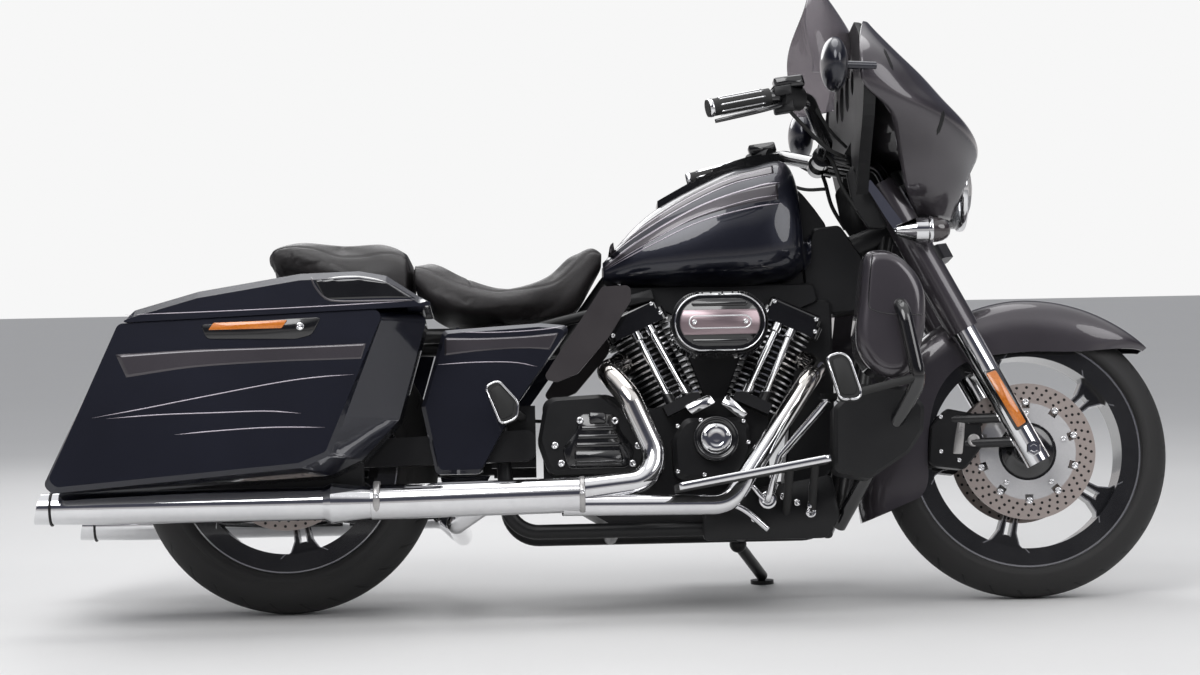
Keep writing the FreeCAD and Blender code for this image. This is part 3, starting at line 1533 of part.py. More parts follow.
def pushrods():
    """Tappet blocks on the engine case, each with two tubes that lean in to the head."""
    pieces = []
    face = S.case_half_width + S.seat_gap
    for end in (REAR, FRONT):
        block = Part.makeBox(S.tappet_length, S.tappet_reach - face, S.tappet_thickness,
                             Vector(-S.tappet_length / 2 - end * S.pushrod_radius, -S.tappet_reach,
                                    -S.tappet_thickness / 2))
        block.Placement = vee_frame(end, S.barrel_start)
        roof = vee_frame(end, 0)
        lid = Part.makeBox(S.rocker_length * 2, S.rocker_width * 2, S.rocker_height * 2,
                           Vector(-S.rocker_length, -S.rocker_width, fins_end()))
        lid.Placement = roof
        tubes = []
        for share in (-0.5, 0.5):
            along = S.pushrod_spread * share - end * S.pushrod_radius
            foot = roof.multVec(Vector(along, -S.pushrod_foot_y, S.barrel_start))
            head = roof.multVec(Vector(along * 0.8, -S.pushrod_head_y, fins_end() + S.tappet_thickness / 2))
            lean = (head - foot).normalize()
            collar = foot + lean * (S.tappet_thickness / 2 + S.pushrod_collar_length)
            tubes.append(rod(foot, head, S.pushrod_radius))
            tubes.append(rod(foot, collar, S.pushrod_collar_radius))
            tubes.append(rod(head - lean * S.pushrod_collar_length * 1.6, head, S.pushrod_collar_radius))
        pieces.append(largest(block.fuse(tubes).cut(lid)))
    solid_node("pushrods", Part.Compound(pieces))


def air_cleaner():
    """Oval filter housing on an intake that branches to both heads."""
    x, z = S.air_cleaner_x, S.air_cleaner_z
    half, tall = S.air_cleaner_length / 2, S.air_cleaner_height / 2
    outline = [(x - half, z - tall), (x - half, z + tall), (x + half, z + tall), (x + half, z - tall)]
    outer = -S.air_cleaner_reach
    inner = outer + S.air_cleaner_depth
    body = crowned(outline, inner, outer, tall * 0.88, S.cover_bevel)
    stub = cross_rod(Vector(x, 0, z), S.intake_radius * 1.3, inner, 0)
    branch = rod(Vector(x - S.fin_radius * 1.6, 0, z - S.intake_radius),
                 Vector(x + S.fin_radius * 1.6, 0, z - S.intake_radius),
                 S.intake_radius)
    whole = body.fuse([stub, branch])
    for end in (REAR, FRONT):
        whole = whole.cut(rod(barrel_axis(end, S.barrel_start), barrel_axis(end, fins_end()),
                              S.fin_radius + S.seat_gap))
    solid_node("air_cleaner", largest(whole))


# Exhaust

def muffler(side):
    """Long silencer with a flared front joint, a slanted tip and an open outlet."""
    centre = Vector(0, side * S.muffler_offset, S.muffler_height)
    radius, front, tip = S.muffler_radius, S.muffler_front, muffler_tip()
    flare_start = front - S.muffler_flare_length
    profile = [(tip, 0), (tip, radius * 0.92), (tip + S.muffler_bore_depth, radius),
               (flare_start - S.muffler_slant, radius), (flare_start, S.muffler_flare),
               (front, radius * 0.97), (front, 0)]
    face = Part.Face(Part.makePolygon([centre + Vector(x, 0, z) for x, z in profile + profile[:1]]))
    body = face.revolve(centre, X_AXIS, 360)
    bore = rod(centre + X_AXIS * (tip - S.overrun), centre + X_AXIS * (tip + S.muffler_bore_depth),
               S.muffler_bore)
    wide = radius * 2
    slant = [centre + Vector(tip - S.overrun, -wide, wide), centre + Vector(tip + S.muffler_slant * 1.5,
                                                                            -wide, wide),
             centre + Vector(tip, -wide, -radius), centre + Vector(tip - S.overrun, -wide, -radius)]
    wedge = Part.Face(Part.makePolygon(slant + slant[:1])).extrude(Y_AXIS * (wide * 2))
    return body.cut(bore).cut(wedge)


REAR_HEADER_SHARES = (
    # shares of the header's run from the main pipe forwards, of the mufflers' offset, and of the rise
    (0.356, 0.0, 0.971), (0.194, -0.233, 0.847), (0.194, -0.633, 0.788), (0.266, -0.767, 0.624),
    (0.403, -0.833, 0.10), (0.0, -1.0, 0.02),
)
FRONT_HEADER_SHARES = (
    (0.874, 0.0, 0.971), (1.032, -0.233, 0.847), (0.974, -0.573, 0.741), (0.636, -0.84, -0.07),
    (0.0, -0.993, -0.065),
)
CROSSOVER_SHARES = (
    # shares of the mufflers' flared length forwards of their front, and of their offset
    (2.78, -1.0), (2.10, -0.833), (2.10, 0.80),
)


def exhaust():
    """Headers from both ports into one covered pipe, and the crossover to the left silencer."""
    silencers = [muffler(side) for side in SIDES]
    solid_node("mufflers", Part.Compound(silencers))
    front = S.muffler_front + S.seat_gap
    start = Vector(front, -S.muffler_offset, S.muffler_height)
    main_end = Vector(front + S.heat_shield_length, -S.muffler_offset, S.muffler_height + S.heat_shield_rise)
    span = Vector(S.header_span, S.muffler_offset, S.header_rise)
    origin = Vector(main_end.x - S.muffler_flare_length / 2, 0, main_end.z)
    ports = [rod(barrel_axis(end, S.barrel_start), barrel_axis(end, fins_end()), S.fin_radius + S.seat_gap)
             for end in (REAR, FRONT)]
    rear = tube(spread(REAR_HEADER_SHARES, origin, span), S.header_radius, S.header_bend).cut(ports[0])
    forward = tube(spread(FRONT_HEADER_SHARES, origin, span), S.front_header_radius,
                   S.header_bend).cut(ports[1])
    points = [Vector(front + S.muffler_flare_length * a, S.muffler_offset * b, S.crossover_height)
              for a, b in CROSSOVER_SHARES]
    points[0].z = S.muffler_height - S.front_header_radius / 2
    turn = Vector(front + S.muffler_flare_length * 1.55, S.muffler_offset, S.muffler_height)
    points += [turn, Vector(front, S.muffler_offset, S.muffler_height)]
    cross = tube(points, S.front_header_radius, S.header_bend * 0.64)
    main = seated(rod(start, main_end, S.heat_shield_radius), silencers[0], X_AXIS)
    solid_node("exhaust_pipes", main.fuse([largest(rear), largest(forward), cross]))


# Tank and seats

TANK_STATIONS = (
    # shares along, of the height for the top and bottom, of the half width, waist
    (0.0, 0.22, 0.04, 0.46, 0.35), (0.09, 0.38, 0.02, 0.68, 0.32), (0.27, 0.64, 0.0, 0.88, 0.30),
    (0.47, 0.815, -0.01, 0.98, 0.28), (0.66, 0.94, -0.01, 1.0, 0.27), (0.80, 0.99, 0.01, 0.97, 0.28),
    (0.875, 0.995, 0.03, 0.90, 0.30), (0.94, 0.80, 0.08, 0.74, 0.34), (1.0, 0.42, 0.17, 0.40, 0.45),
)
CONSOLE_SHARES = ((0.27, 0.64), (0.47, 0.815), (0.66, 0.94), (0.80, 0.99), (0.865, 1.0))
DOOR_SHARES = (0.54, 0.78)


def curved_strip(points, low, high, half_width):
    """Strip that follows a side-view curve between two heights above it."""
    edges = []
    ends = []
    for rise in (low, high):
        curve = Part.BSplineCurve()
        curve.interpolate([Vector(x, -half_width, z + rise) for x, z in points])
        edges.append(curve.toShape())
        ends.append((curve.StartPoint, curve.EndPoint))
    edges.append(Part.LineSegment(ends[0][0], ends[1][0]).toShape())
    edges.append(Part.LineSegment(ends[0][1], ends[1][1]).toShape())
    return Part.Face(Part.Wire(Part.__sortEdges__(edges))).extrude(Y_AXIS * (half_width * 2))


def fuel_tank():
    """Teardrop tank over the backbone, with a console on its top and a door in the console."""
    tank = oval_loft(TANK_STATIONS, S.tank_rear, S.tank_length, S.tank_base, S.tank_height, S.tank_half_width,
                     2.6)
    clear = S.backbone_radius + S.moving_gap * 2
    floor = S.backbone_height - S.backbone_radius * 4
    top = S.backbone_height + S.backbone_radius + S.seat_gap
    tunnel = Part.makeBox(S.tank_length * 2, clear * 2, top - floor,
                          Vector(S.tank_rear - S.tank_length / 2, -clear, floor))
    tunnel = tunnel.makeFillet(clear * 0.5, [e for e in tunnel.Edges if e.BoundBox.XLength > S.tank_length])
    solid_node("fuel_tank", largest(tank.cut(tunnel)))
    points = scaled(CONSOLE_SHARES, S.tank_rear, S.tank_base, S.tank_length, S.tank_height)
    block = curved_strip(points, -S.overrun, S.console_height, S.console_half_width)
    console = largest(block.cut(tank))
    console.translate(Z_AXIS * S.seat_gap)
    solid_node("tank_console", console)
    low = S.console_height + S.seat_gap * 2
    strip = curved_strip(points, low, low + S.fuel_door_thickness, S.fuel_door_half_width)
    start, end = (S.tank_rear + S.tank_length * share for share in DOOR_SHARES)
    window = Part.makeBox(end - start, S.tank_half_width * 2, S.tank_height * 2,
                          Vector(start, -S.tank_half_width, S.tank_base))
    solid_node("fuel_door", largest(strip.common(window)))


def fuel_door_hinge():
    """Front edge of the fuel door, where its hinge is."""
    points = scaled(CONSOLE_SHARES, S.tank_rear, S.tank_base, S.tank_length, S.tank_height)
    (rear_x, rear_z), (front_x, front_z) = points[2:4]
    x = S.tank_rear + S.tank_length * DOOR_SHARES[1]
    share = (x - rear_x) / (front_x - rear_x)
    return Vector(x, 0, rear_z + (front_z - rear_z) * share + S.console_height + S.fuel_door_thickness)


SEAT_STATIONS = (
    (0.0, 0.80, 0.42, 0.86, 0.4), (0.10, 0.76, 0.16, 0.95, 0.4), (0.25, 0.55, 0.02, 1.0, 0.5),
    (0.45, 0.395, 0.0, 1.0, 0.5), (0.60, 0.44, 0.02, 0.90, 0.5), (0.74, 0.60, 0.06, 0.68, 0.5),
    (0.86, 0.90, 0.20, 0.50, 0.5), (0.94, 1.0, 0.50, 0.42, 0.5), (1.0, 0.94, 0.74, 0.34, 0.5),
)

PILLION_STATIONS = (
    (0.0, 0.84, 0.60, 0.62, 0.4), (0.06, 0.96, 0.55, 0.82, 0.4), (0.25, 0.99, 0.40, 0.96, 0.4),
    (0.55, 0.934, 0.14, 1.0, 0.4), (0.85, 0.953, 0.02, 1.0, 0.4), (1.0, 0.865, 0.0, 0.96, 0.4),
)


def seats():
    """Rider's seat on the frame's bar, and the pillion seat on the rear fender."""
    rider = oval_loft(SEAT_STATIONS, S.seat_rear, S.seat_length, S.seat_base, S.seat_rise, S.seat_half_width,
                      3.0)
    solid_node("rider_seat", rider)
    pillion = oval_loft(PILLION_STATIONS, S.pillion_rear, S.pillion_length, S.pillion_base,
                        S.pillion_rise, S.pillion_half_width, 3.0)
    wheel_space = cross_rod(rear_centre(), S.rear_fender_radius * 1.002 + S.seat_gap,
                            -S.bag_outer, S.bag_outer)
    solid_node("pillion_seat", seated(pillion, wheel_space, Z_AXIS))


# Saddlebags

LID_SHARES = ((0.195, 0.0), (0.235, 0.28), (0.40, 0.62), (0.665, 0.93), (0.82, 0.96), (0.89, 0.86),
              (0.975, 0.44), (1.005, 0.17))
BAG_SHARES = (
    # corners as shares of the bag's length and height, first outboard of the shoulder, then inboard
    ((0.0, 0.046), (0.022, 0.0), (0.666, 0.117), (0.739, 0.183), (0.78, 0.404), (0.886, 1.0), (0.195, 1.0)),
    ((0.01, 0.068), (0.033, 0.014), (0.729, 0.09), (0.816, 0.178), (0.914, 0.404), (0.994, 1.0),
     (0.198, 1.0)),
)
CORE_SHARES = ((0.03, 0.12), (0.66, 0.16), (0.735, 0.235), (0.765, 0.50), (0.865, 1.1), (0.21, 1.1))
LID_CORE_SHARES = ((0.215, -0.05), (0.25, 0.18), (0.41, 0.50), (0.665, 0.80), (0.81, 0.83), (0.865, 0.74),
                   (0.94, 0.30), (0.955, -0.05))


def seam_height(x):
    """Height of the split between a saddlebag and its lid: it climbs gently forwards."""
    return S.bag_floor + S.bag_height * 0.955 + (x - S.bag_rear - S.bag_length * 0.19) * S.bag_seam_rise


def bag_outline(shares):
    """Corners of the case at one lateral offset, the top two on the seam."""
    points = scaled(shares, S.bag_rear, S.bag_floor, S.bag_length, S.bag_height)
    return points[:-2] + [(x, seam_height(x)) for x, z in points[-2:]]


def bag_case():
    """Right case: widest across its shoulder, hollow, with a channel for the silencer."""
    outer, inner = (bag_outline(shares) for shares in BAG_SHARES)
    stations = ((inner, S.bag_inner), (inner, S.bag_shoulder), (outer, S.bag_outer - S.bag_bevel),
                (shrunk(outer, S.bag_bevel)[:-2] + outer[-2:], S.bag_outer))
    wires = [rounded_wire(upright(points, -offset), S.bag_corner) for points, offset in stations]
    case = Part.makeLoft(wires, True, True)
    core = panel(scaled(CORE_SHARES, S.bag_rear, S.bag_floor, S.bag_length, S.bag_height),
                 -S.bag_outer + S.bag_bevel, -S.bag_inner - S.bag_wall, S.bag_corner)
    centre = Vector(muffler_tip() - S.overrun * 3, -S.muffler_offset, S.muffler_height)
    end = Vector(S.muffler_front + S.heat_shield_length, -S.muffler_offset, S.muffler_height)
    reach = S.muffler_flare + S.moving_gap
    channel = rod(centre, end, reach)
    return case.cut(core.cut(rod(centre, end, reach + S.bag_wall))).cut(channel)


def bag_lid():
    """Right lid: a hollow shell on the case's seam, bevelled along its outer top edge."""
    length, height = S.bag_length, S.lid_height
    base = seam_height(S.bag_rear + length * 0.2)
    crest = scaled(LID_SHARES, S.bag_rear, base, length, height)
    front, rear = crest[-1][0], crest[0][0]
    outline = [(rear, seam_height(rear) + S.bag_seam_gap)] + crest[1:-1]
    outline += [(front, seam_height(front) + S.bag_bevel), (front, seam_height(front) + S.bag_seam_gap)]
    reach = S.bag_outer + S.lid_overhang
    low = S.bag_bevel * 1.5
    top = [outline[0]] + [(x, z - low) for x, z in outline[1:-2]] + outline[-2:]
    wires = [rounded_wire(upright(outline, -S.bag_inner), S.bag_corner * 0.4),
             rounded_wire(upright(outline, -reach + S.lid_bevel), S.bag_corner * 0.4),
             rounded_wire(upright(top, -reach), S.bag_corner * 0.4)]
    shell = Part.makeLoft(wires, True, True)
    core = panel(scaled(LID_CORE_SHARES, S.bag_rear, base, length, height),
                 -reach + S.bag_wall * 2, -S.bag_inner - S.bag_wall, S.bag_corner * 0.4)
    return shell.cut(core)


def bags():
    """Cases and lids on both sides; each lid swings outwards about its outer seam."""
    case, lid = bag_case(), bag_lid()
    for side, name in ((RIGHT, "right"), (LEFT, "left")):
        for label, shape in (("saddlebag_" + name, case), ("saddlebag_lid_" + name, lid)):
            solid_node(label, shape if side == RIGHT else mirrored(shape))


# Body panels and fittings

COVER_SHARES = ((0.149, 0.963), (0.79, 1.0), (1.0, 0.978), (0.918, 0.861), (0.646, 0.483), (0.378, 0.0),
                (0.091, 0.0), (0.0, 0.452))
FLAP_SHARES = ((1.0, 1.0), (1.0, 0.84), (0.758, 0.48), (0.392, 0.087), (0.155, 0.0), (0.0, 0.04),
               (0.206, 0.332), (0.567, 0.827), (0.68, 0.99))


def side_panels():
    """Covers behind the engine and flaps in front of the seat, each on its own pins."""
    outline = scaled(COVER_SHARES, S.side_cover_x, S.side_cover_z, S.side_cover_length, S.side_cover_height)
    inner = S.side_cover_reach - S.side_cover_thickness
    cover = crowned(outline, -inner, -S.side_cover_reach, S.panel_corner, S.cover_bevel)
    rails = rail(RIGHT, S.seat_gap)
    low = Vector(S.side_cover_x + S.side_cover_length * 0.515, 0, S.side_cover_z + S.side_cover_height * 0.67)
    high = Vector(S.side_cover_x + S.side_cover_length * 0.245, 0, S.rail_height + S.frame_height)
    for pin in (low, high):
        post = cross_rod(pin, S.panel_pin_radius, -inner - S.pad_bevel, -S.rail_half_track * 0.7)
        cover = cover.fuse(seated(post, rails, -Y_AXIS))
    solid_node("side_covers", both_sides(cover))
    outline = scaled(FLAP_SHARES, S.flap_x, S.flap_z, S.flap_length, S.flap_height)
    inner = S.flap_reach - S.flap_thickness
    flap = panel(outline, -S.flap_reach, -inner, S.panel_corner)
    along, wide, rise = SEAT_TUBE_SHARES[1]
    pin = Vector(S.frame_rear + S.frame_length * along, 0, S.rail_height + S.frame_height * rise)
    post = cross_rod(pin, S.panel_pin_radius, -inner - S.flap_thickness / 2, -S.rail_half_track * 0.5)
    flap = flap.fuse(seated(post, seat_tube(RIGHT, S.seat_gap), -Y_AXIS))
    solid_node("frame_flaps", both_sides(flap))


LEG_SHIELD_SHARES = ((0.159, 0.99), (0.083, 0.669), (0.0, 0.382), (0.014, 0.235), (0.159, 0.096),
                     (0.448, 0.0), (0.786, 0.051), (0.986, 0.382), (1.0, 0.669), (0.869, 0.827),
                     (0.655, 0.949), (0.441, 1.0))
HOUSING_SHARES = ((0.20, 0.079), (0.22, 0.762), (0.427, 1.0), (0.854, 0.96), (1.0, 0.762), (0.984, 0.495),
                  (0.854, 0.267), (0.512, 0.0))


def guard_points():
    """Engine guard's route from the down tube, outwards, down and back to the lower rail."""
    path = rail_path(RIGHT)
    knee = Vector(S.guard_front - S.overrun * 1.5, -S.guard_reach + S.pad_thickness * 0.6, S.guard_top)
    elbow = Vector(S.guard_front, -S.guard_reach, S.guard_top - S.leg_shield_height * 0.632)
    root = path[0] + (path[1] - path[0]) * 0.6
    return [Vector(root.x, root.y, S.guard_top), knee, elbow,
            Vector(path[2].x, path[2].y, path[2].z)]


def lowers():
    """Leg shields and the black housings under them, grooved where the guard passes."""
    outline = scaled(LEG_SHIELD_SHARES, S.leg_shield_x, S.leg_shield_z, S.leg_shield_width,
                     S.leg_shield_height)
    block = crowned(outline, -S.leg_shield_inner, -S.leg_shield_outer, S.panel_corner, S.leg_shield_bevel)
    core = crowned(shrunk(outline, S.leg_shield_wall * 3), -S.leg_shield_inner - S.leg_shield_wall,
                   -S.leg_shield_outer + S.leg_shield_wall, S.panel_corner, S.leg_shield_bevel)
    groove = tube(guard_points(), S.guard_radius + S.seat_gap, S.guard_bend)
    solid_node("lower_fairings", both_sides(largest(block.cut(core).cut(groove))))
    outline = scaled(HOUSING_SHARES, S.housing_x, S.housing_z, S.housing_length, S.housing_height)
    housing = crowned(outline, -S.housing_inner, -S.housing_outer, S.overrun, S.cover_bevel)
    tubes = rail(RIGHT, S.seat_gap).fuse(groove)
    solid_node("radiators", both_sides(largest(housing.cut(tubes))))


def guard():
    """Hoop on each side from the down tube to the lower rail."""
    hoop = tube(guard_points(), S.guard_radius, S.guard_bend)
    solid_node("engine_guard", both_sides(seated(hoop, rail(RIGHT, S.seat_gap), -Y_AXIS)))


HIGHWAY_PAD_SHARES = ((0.0, 0.91), (0.42, 1.0), (0.68, 0.875), (1.0, 0.125), (0.88, 0.0), (0.37, 0.0))
PILLION_PAD_SHARES = ((0.0, 0.86), (0.40, 1.0), (1.0, 0.50), (0.95, 0.14), (0.47, 0.0))


def foot_gear():
    """Passenger and highway pegs, the rider's boards and the brake pedal."""
    outline = scaled(HIGHWAY_PAD_SHARES, S.highway_pad_x, S.highway_pad_z, S.highway_pad_length,
                     S.highway_pad_height)
    outer = S.highway_pad_reach
    pad = crowned(outline, -outer + S.pad_thickness, -outer, S.pad_corner, S.pad_bevel)
    hoop = tube(guard_points(), S.guard_radius + S.seat_gap, S.guard_bend)
    start = Vector(S.highway_pad_x + S.highway_pad_length * 0.8, -outer + S.pad_thickness / 2,
                   S.highway_pad_z + S.highway_pad_height * 0.16)
    elbow = guard_points()[2]
    grip = Vector(elbow.x - S.guard_radius / 2, elbow.y, S.highway_pad_z + S.highway_pad_height * 0.5)
    pad = pad.fuse(seated(rod(start, grip, S.peg_arm_radius), hoop, -X_AXIS))
    outline = scaled(PILLION_PAD_SHARES, S.pillion_pad_x, S.pillion_pad_z, S.pillion_pad_length,
                     S.pillion_pad_height)
    outer = S.pillion_pad_reach
    rear_pad = crowned(outline, -outer + S.pad_thickness, -outer, S.pad_corner, S.pad_bevel)
    start = Vector(S.pillion_pad_x + S.pillion_pad_length * 0.85, -outer + S.pad_thickness / 2,
                   S.pillion_pad_z + S.pillion_pad_height * 0.3)
    face = S.rail_half_track + S.pivot_plate_thickness / 2 + S.seat_gap
    end = Vector(S.pivot_plate_x + S.pivot_plate_length * 0.71, -face,
                 S.pivot_plate_z + S.pivot_plate_height * 0.81)
    over = rod(start, Vector(end.x, -S.rail_half_track, end.z), S.peg_arm_radius)
    plate = Part.makeBox(S.pivot_plate_length * 2, face, S.pivot_plate_height * 2,
                         Vector(S.pivot_plate_x - S.pivot_plate_length / 2, -face,
                                S.pivot_plate_z - S.pivot_plate_height / 2))
    rear_pad = rear_pad.fuse(seated(over, plate, -Y_AXIS))
    solid_node("foot_pegs", Part.Compound([pad, mirrored(pad), rear_pad, mirrored(rear_pad)]))
    board = floorboard()
    rails = rail(RIGHT, S.seat_gap)
    middle = S.floorboard_inner + S.floorboard_width * 0.3
    slope = math.tan(math.radians(S.floorboard_slope))
    for share in BOARD_STRUT_SHARES:
        x = S.floorboard_x + S.floorboard_length * share
        top = S.floorboard_z + (x - S.floorboard_x) * slope + S.floorboard_thickness / 2
        strut = rod(Vector(x, -middle, top), Vector(x, -S.rail_half_track, S.rail_height),
                    S.board_strut_radius)
        board = board.fuse(seated(strut, rails, -Y_AXIS))
    solid_node("floorboards", both_sides(board))
    brake_pedal()


BOARD_STRUT_SHARES = (0.74, 0.905)
PEDAL_SHARES = (
    # shares of the pedal's length, of the board's inner reach, and of its height
    (0.0, -0.72, 0.0), (0.0, -0.80, 0.0), (0.22, -0.86, 0.45), (1.0, -1.0, 1.0),
)


def floorboard():
    """Right board, sloped up to the front and rounded at its corners."""
    board = Part.makeBox(S.floorboard_length, S.floorboard_width, S.floorboard_thickness)
    uprights = [e for e in board.Edges if abs(e.BoundBox.ZLength - S.floorboard_thickness) < S.seat_gap]
    board = board.makeFillet(S.floorboard_corner, uprights)
    corner = Vector(S.floorboard_x, -S.floorboard_inner - S.floorboard_width, S.floorboard_z)
    board.Placement = Placement(corner, Rotation(Y_AXIS, -S.floorboard_slope))
    return Part.Solid(board.Solids[0])


def brake_pedal():
    """Pedal on its pivot ear, with a pad over the floorboard's nose."""
    start = Vector(S.pedal_x, 0, S.pedal_z)
    path = spread(PEDAL_SHARES, start, Vector(S.pedal_length, S.floorboard_inner, S.pedal_height))
    path[0].y = -pedal_inner()
    end = path[-1]
    pad = Part.makeBox(S.pedal_pad_length, S.pedal_pad_width, S.floorboard_thickness,
                       Vector(end.x - S.pedal_pad_length / 2, end.y - S.pedal_pad_width / 2, end.z))
    solid_node("brake_pedal", tube(path, S.pedal_radius, S.panel_corner * 2).fuse(pad))


def side_stand():
    """Leg pivoted under the left rail, its sole flat on the floor of the leaned bike."""
    lean = math.radians(S.lean_angle)
    pivot = Vector(S.stand_pivot_x, S.stand_pivot_y, S.stand_pivot_z)
    floor = S.stand_foot_y * math.tan(lean) - crown_lift() / math.cos(lean)
    foot = Vector(S.stand_foot_x, S.stand_foot_y, floor)
    up = Vector(0, -math.sin(lean), math.cos(lean))
    sole = rod(foot, foot + up * S.stand_foot_thickness, S.stand_foot_radius)
    leg = rod(pivot, foot + up * (S.stand_foot_thickness + S.stand_radius * 0.7), S.stand_radius)
    knuckle = Part.makeSphere(S.stand_knuckle_radius, pivot)
    solid_node("side_stand", leg.fuse([sole, knuckle]).removeSplitter())


def rear_end():
    """Rear fender, the lamps seated on it and the number plate's bracket on two stays."""
    shell = fender(rear_centre(), REAR_FENDER_STATIONS, S.rear_fender_radius,
                   S.rear_fender_skirt, S.rear_fender_half_width)
    solid_node("rear_fender", shell)
    turn = math.radians(S.tail_lamp_angle)
    root = rear_centre() + Vector(math.cos(turn), 0, math.sin(turn)) * (S.rear_fender_radius * 1.01)
    lamps = []
    for side in SIDES:
        middle = root + Y_AXIS * (side * S.tail_lamp_offset)
        lamp = rod(middle + X_AXIS * S.tail_lamp_depth, middle - X_AXIS * S.tail_lamp_depth,
                   S.tail_lamp_radius)
        lamps.append(seated(lamp, shell, -X_AXIS))
    solid_node("tail_lamps", Part.Compound(lamps))
    plate = Part.makeBox(S.plate_thickness, S.plate_width, S.plate_height,
                         Vector(S.plate_x, -S.plate_width / 2, S.plate_z))
    hole_height = S.plate_z + S.plate_height - S.plate_hole_drop
    for side in SIDES:
        stay_start = Vector(S.plate_x + S.plate_thickness / 2, side * S.plate_width / 6,
                            S.plate_z + S.plate_height / 2)
        stay = rod(stay_start, Vector(-S.rear_fender_radius * 0.8, stay_start.y, stay_start.z),
                   S.plate_stay_radius)
        plate = plate.fuse(seated(stay, shell, -X_AXIS))
    for side in SIDES:
        hole = Vector(S.plate_x - S.overrun / 2, side * S.plate_hole_spacing / 2, hole_height)
        plate = plate.cut(rod(hole, hole + X_AXIS * S.overrun, S.plate_hole_radius))
    solid_node("plate_bracket", plate)


# Assembly

wheels()
wheel_brakes()
axles()
front_end()
fairing()
headlamp()
turn_signals()
handlebar()
frame()
swingarm()
drive_belt()
cylinders()
rocker_covers()
crankcase()
engine_covers()
pushrods()
air_cleaner()
exhaust()
fuel_tank()
seats()
rear_end()
bags()
side_panels()
lowers()
guard()
foot_gear()
side_stand()

doc.recompute()
failed = [item.Label for item in doc.Objects if "Invalid" in item.State or "Error" in item.State]
if failed:
    raise RuntimeError("these objects failed: " + ", ".join(failed))
os.makedirs("parts", exist_ok=True)
for node in NODES:
    if node.Shape.isNull() or not node.Shape.isValid():
        raise RuntimeError("this sub-part has no valid shape: " + node.Label)
    node.Shape.exportStep("parts/%s.step" % node.Label)
print(len(NODES), "sub-parts written")
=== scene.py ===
"""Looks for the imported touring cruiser: paint, chrome, leather, trim and a plain studio."""
import math
from functools import cache, partial

import bpy
import numpy as np
from mathutils import Matrix, Vector


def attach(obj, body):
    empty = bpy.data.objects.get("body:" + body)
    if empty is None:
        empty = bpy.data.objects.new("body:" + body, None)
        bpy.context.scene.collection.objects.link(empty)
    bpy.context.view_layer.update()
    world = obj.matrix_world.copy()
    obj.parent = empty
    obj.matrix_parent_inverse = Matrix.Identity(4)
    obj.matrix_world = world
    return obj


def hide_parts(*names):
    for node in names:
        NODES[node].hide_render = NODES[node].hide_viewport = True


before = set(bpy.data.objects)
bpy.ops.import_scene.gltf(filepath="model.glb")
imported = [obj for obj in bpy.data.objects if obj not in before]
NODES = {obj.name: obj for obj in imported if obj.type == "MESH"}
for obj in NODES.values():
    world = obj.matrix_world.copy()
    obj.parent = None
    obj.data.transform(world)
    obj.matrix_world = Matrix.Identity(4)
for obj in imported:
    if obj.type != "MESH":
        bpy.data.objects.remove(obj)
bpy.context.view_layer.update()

bl_info = {
    "name": "Touring Cruiser Dresser",
    "version": (1, 0, 0),
    "blender": (4, 5, 0),
    "location": "3D View > Sidebar > Cruiser",
    "description": "Finishes and small pieces for a faired touring motorcycle",
    "category": "Object",
}

# Where the upright bike's own axes lie: it leans on its stand, turned about its length.
# Its own frame has the rear axle's ground point as origin, X forwards, Y left, Z up, in mm.
LEAN = math.radians(-9.0)
PARKED = np.array((-717.0, -120.45, 1.1327))
TURN = np.array(((1, 0, 0), (0, math.cos(LEAN), -math.sin(LEAN)), (0, math.sin(LEAN), math.cos(LEAN))))
SIDES = (("right", -1), ("left", 1))
OUTWARDS = (0, -1, 0)
FORWARDS = (1, 0, 0)
FRONT_AXLE = np.array((1625.0, 0.0, 318.7))
REAR_AXLE = np.array((0.0, 0.0, 327.6))
CRANK = np.array((940.0, 0.0, 250.0))
FAIRING_NOSE, FAIRING_DEPTH, FAIRING_BASE, FAIRING_HEIGHT, FAIRING_HALF = 1545.0, 300.0, 838.0, 414.0, 382.0
VEE_HALF_ANGLE = math.radians(25.0)
LAMP_HEIGHT, GEARBOX_FACE, SKIN_LIFT, SKIN_THICKNESS = 918.0, -195.5, 0.6, 1.2
# How far out an inlay starts before it is laid onto the tank, side covers, fairing, bags and lids
TANK_REACH, COVER_REACH, FAIRING_REACH, BAG_REACH, LID_REACH = 170.0, 216.0, 420.0, 428.0, 436.0


def parked(points):
    """Points of the bike's own frame in mm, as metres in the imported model's frame."""
    return (np.asarray(points, float) @ TURN.T + PARKED) * 0.001


def upright(points):
    """The inverse of parked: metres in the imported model's frame to mm of the bike's own."""
    return (np.asarray(points, float) * 1000.0 - PARKED) @ TURN


# Colours and sizes that a user may change

def tint(name, description, default):
    """A colour that a user may change."""
    return bpy.props.FloatVectorProperty(name=name, description=description, subtype="COLOR", size=3, min=0,
        max=1, default=default)


class CRUISER_PG_paint(bpy.types.PropertyGroup):
    body: tint("Body", "Dark metallic colour of the tank, fenders and bags", (0.0065, 0.0075, 0.016))
    accent: tint("Accent", "Charcoal colour of the fairing and leg shields", (0.050, 0.044, 0.051))
    stripe: tint("Stripe", "Light grey of the painted lines", (0.30, 0.27, 0.31))
    leather: tint("Leather", "Colour of both seats", (0.0155, 0.0135, 0.014))
    screen: tint("Screen", "Tint of the smoked windshield", (0.36, 0.33, 0.355))


class CRUISER_PG_trim(bpy.types.PropertyGroup):
    bolt_radius: bpy.props.FloatProperty(name="Bolt radius", description="Radius of the chrome cover bolts",
        subtype="DISTANCE", unit="LENGTH", default=0.006, min=0.002, max=0.015)
    pad_rise: bpy.props.FloatProperty(name="Pad rise", description="Furthest that the seats' foam may swell",
        subtype="DISTANCE", unit="LENGTH", default=0.009, min=0.0, max=0.02)


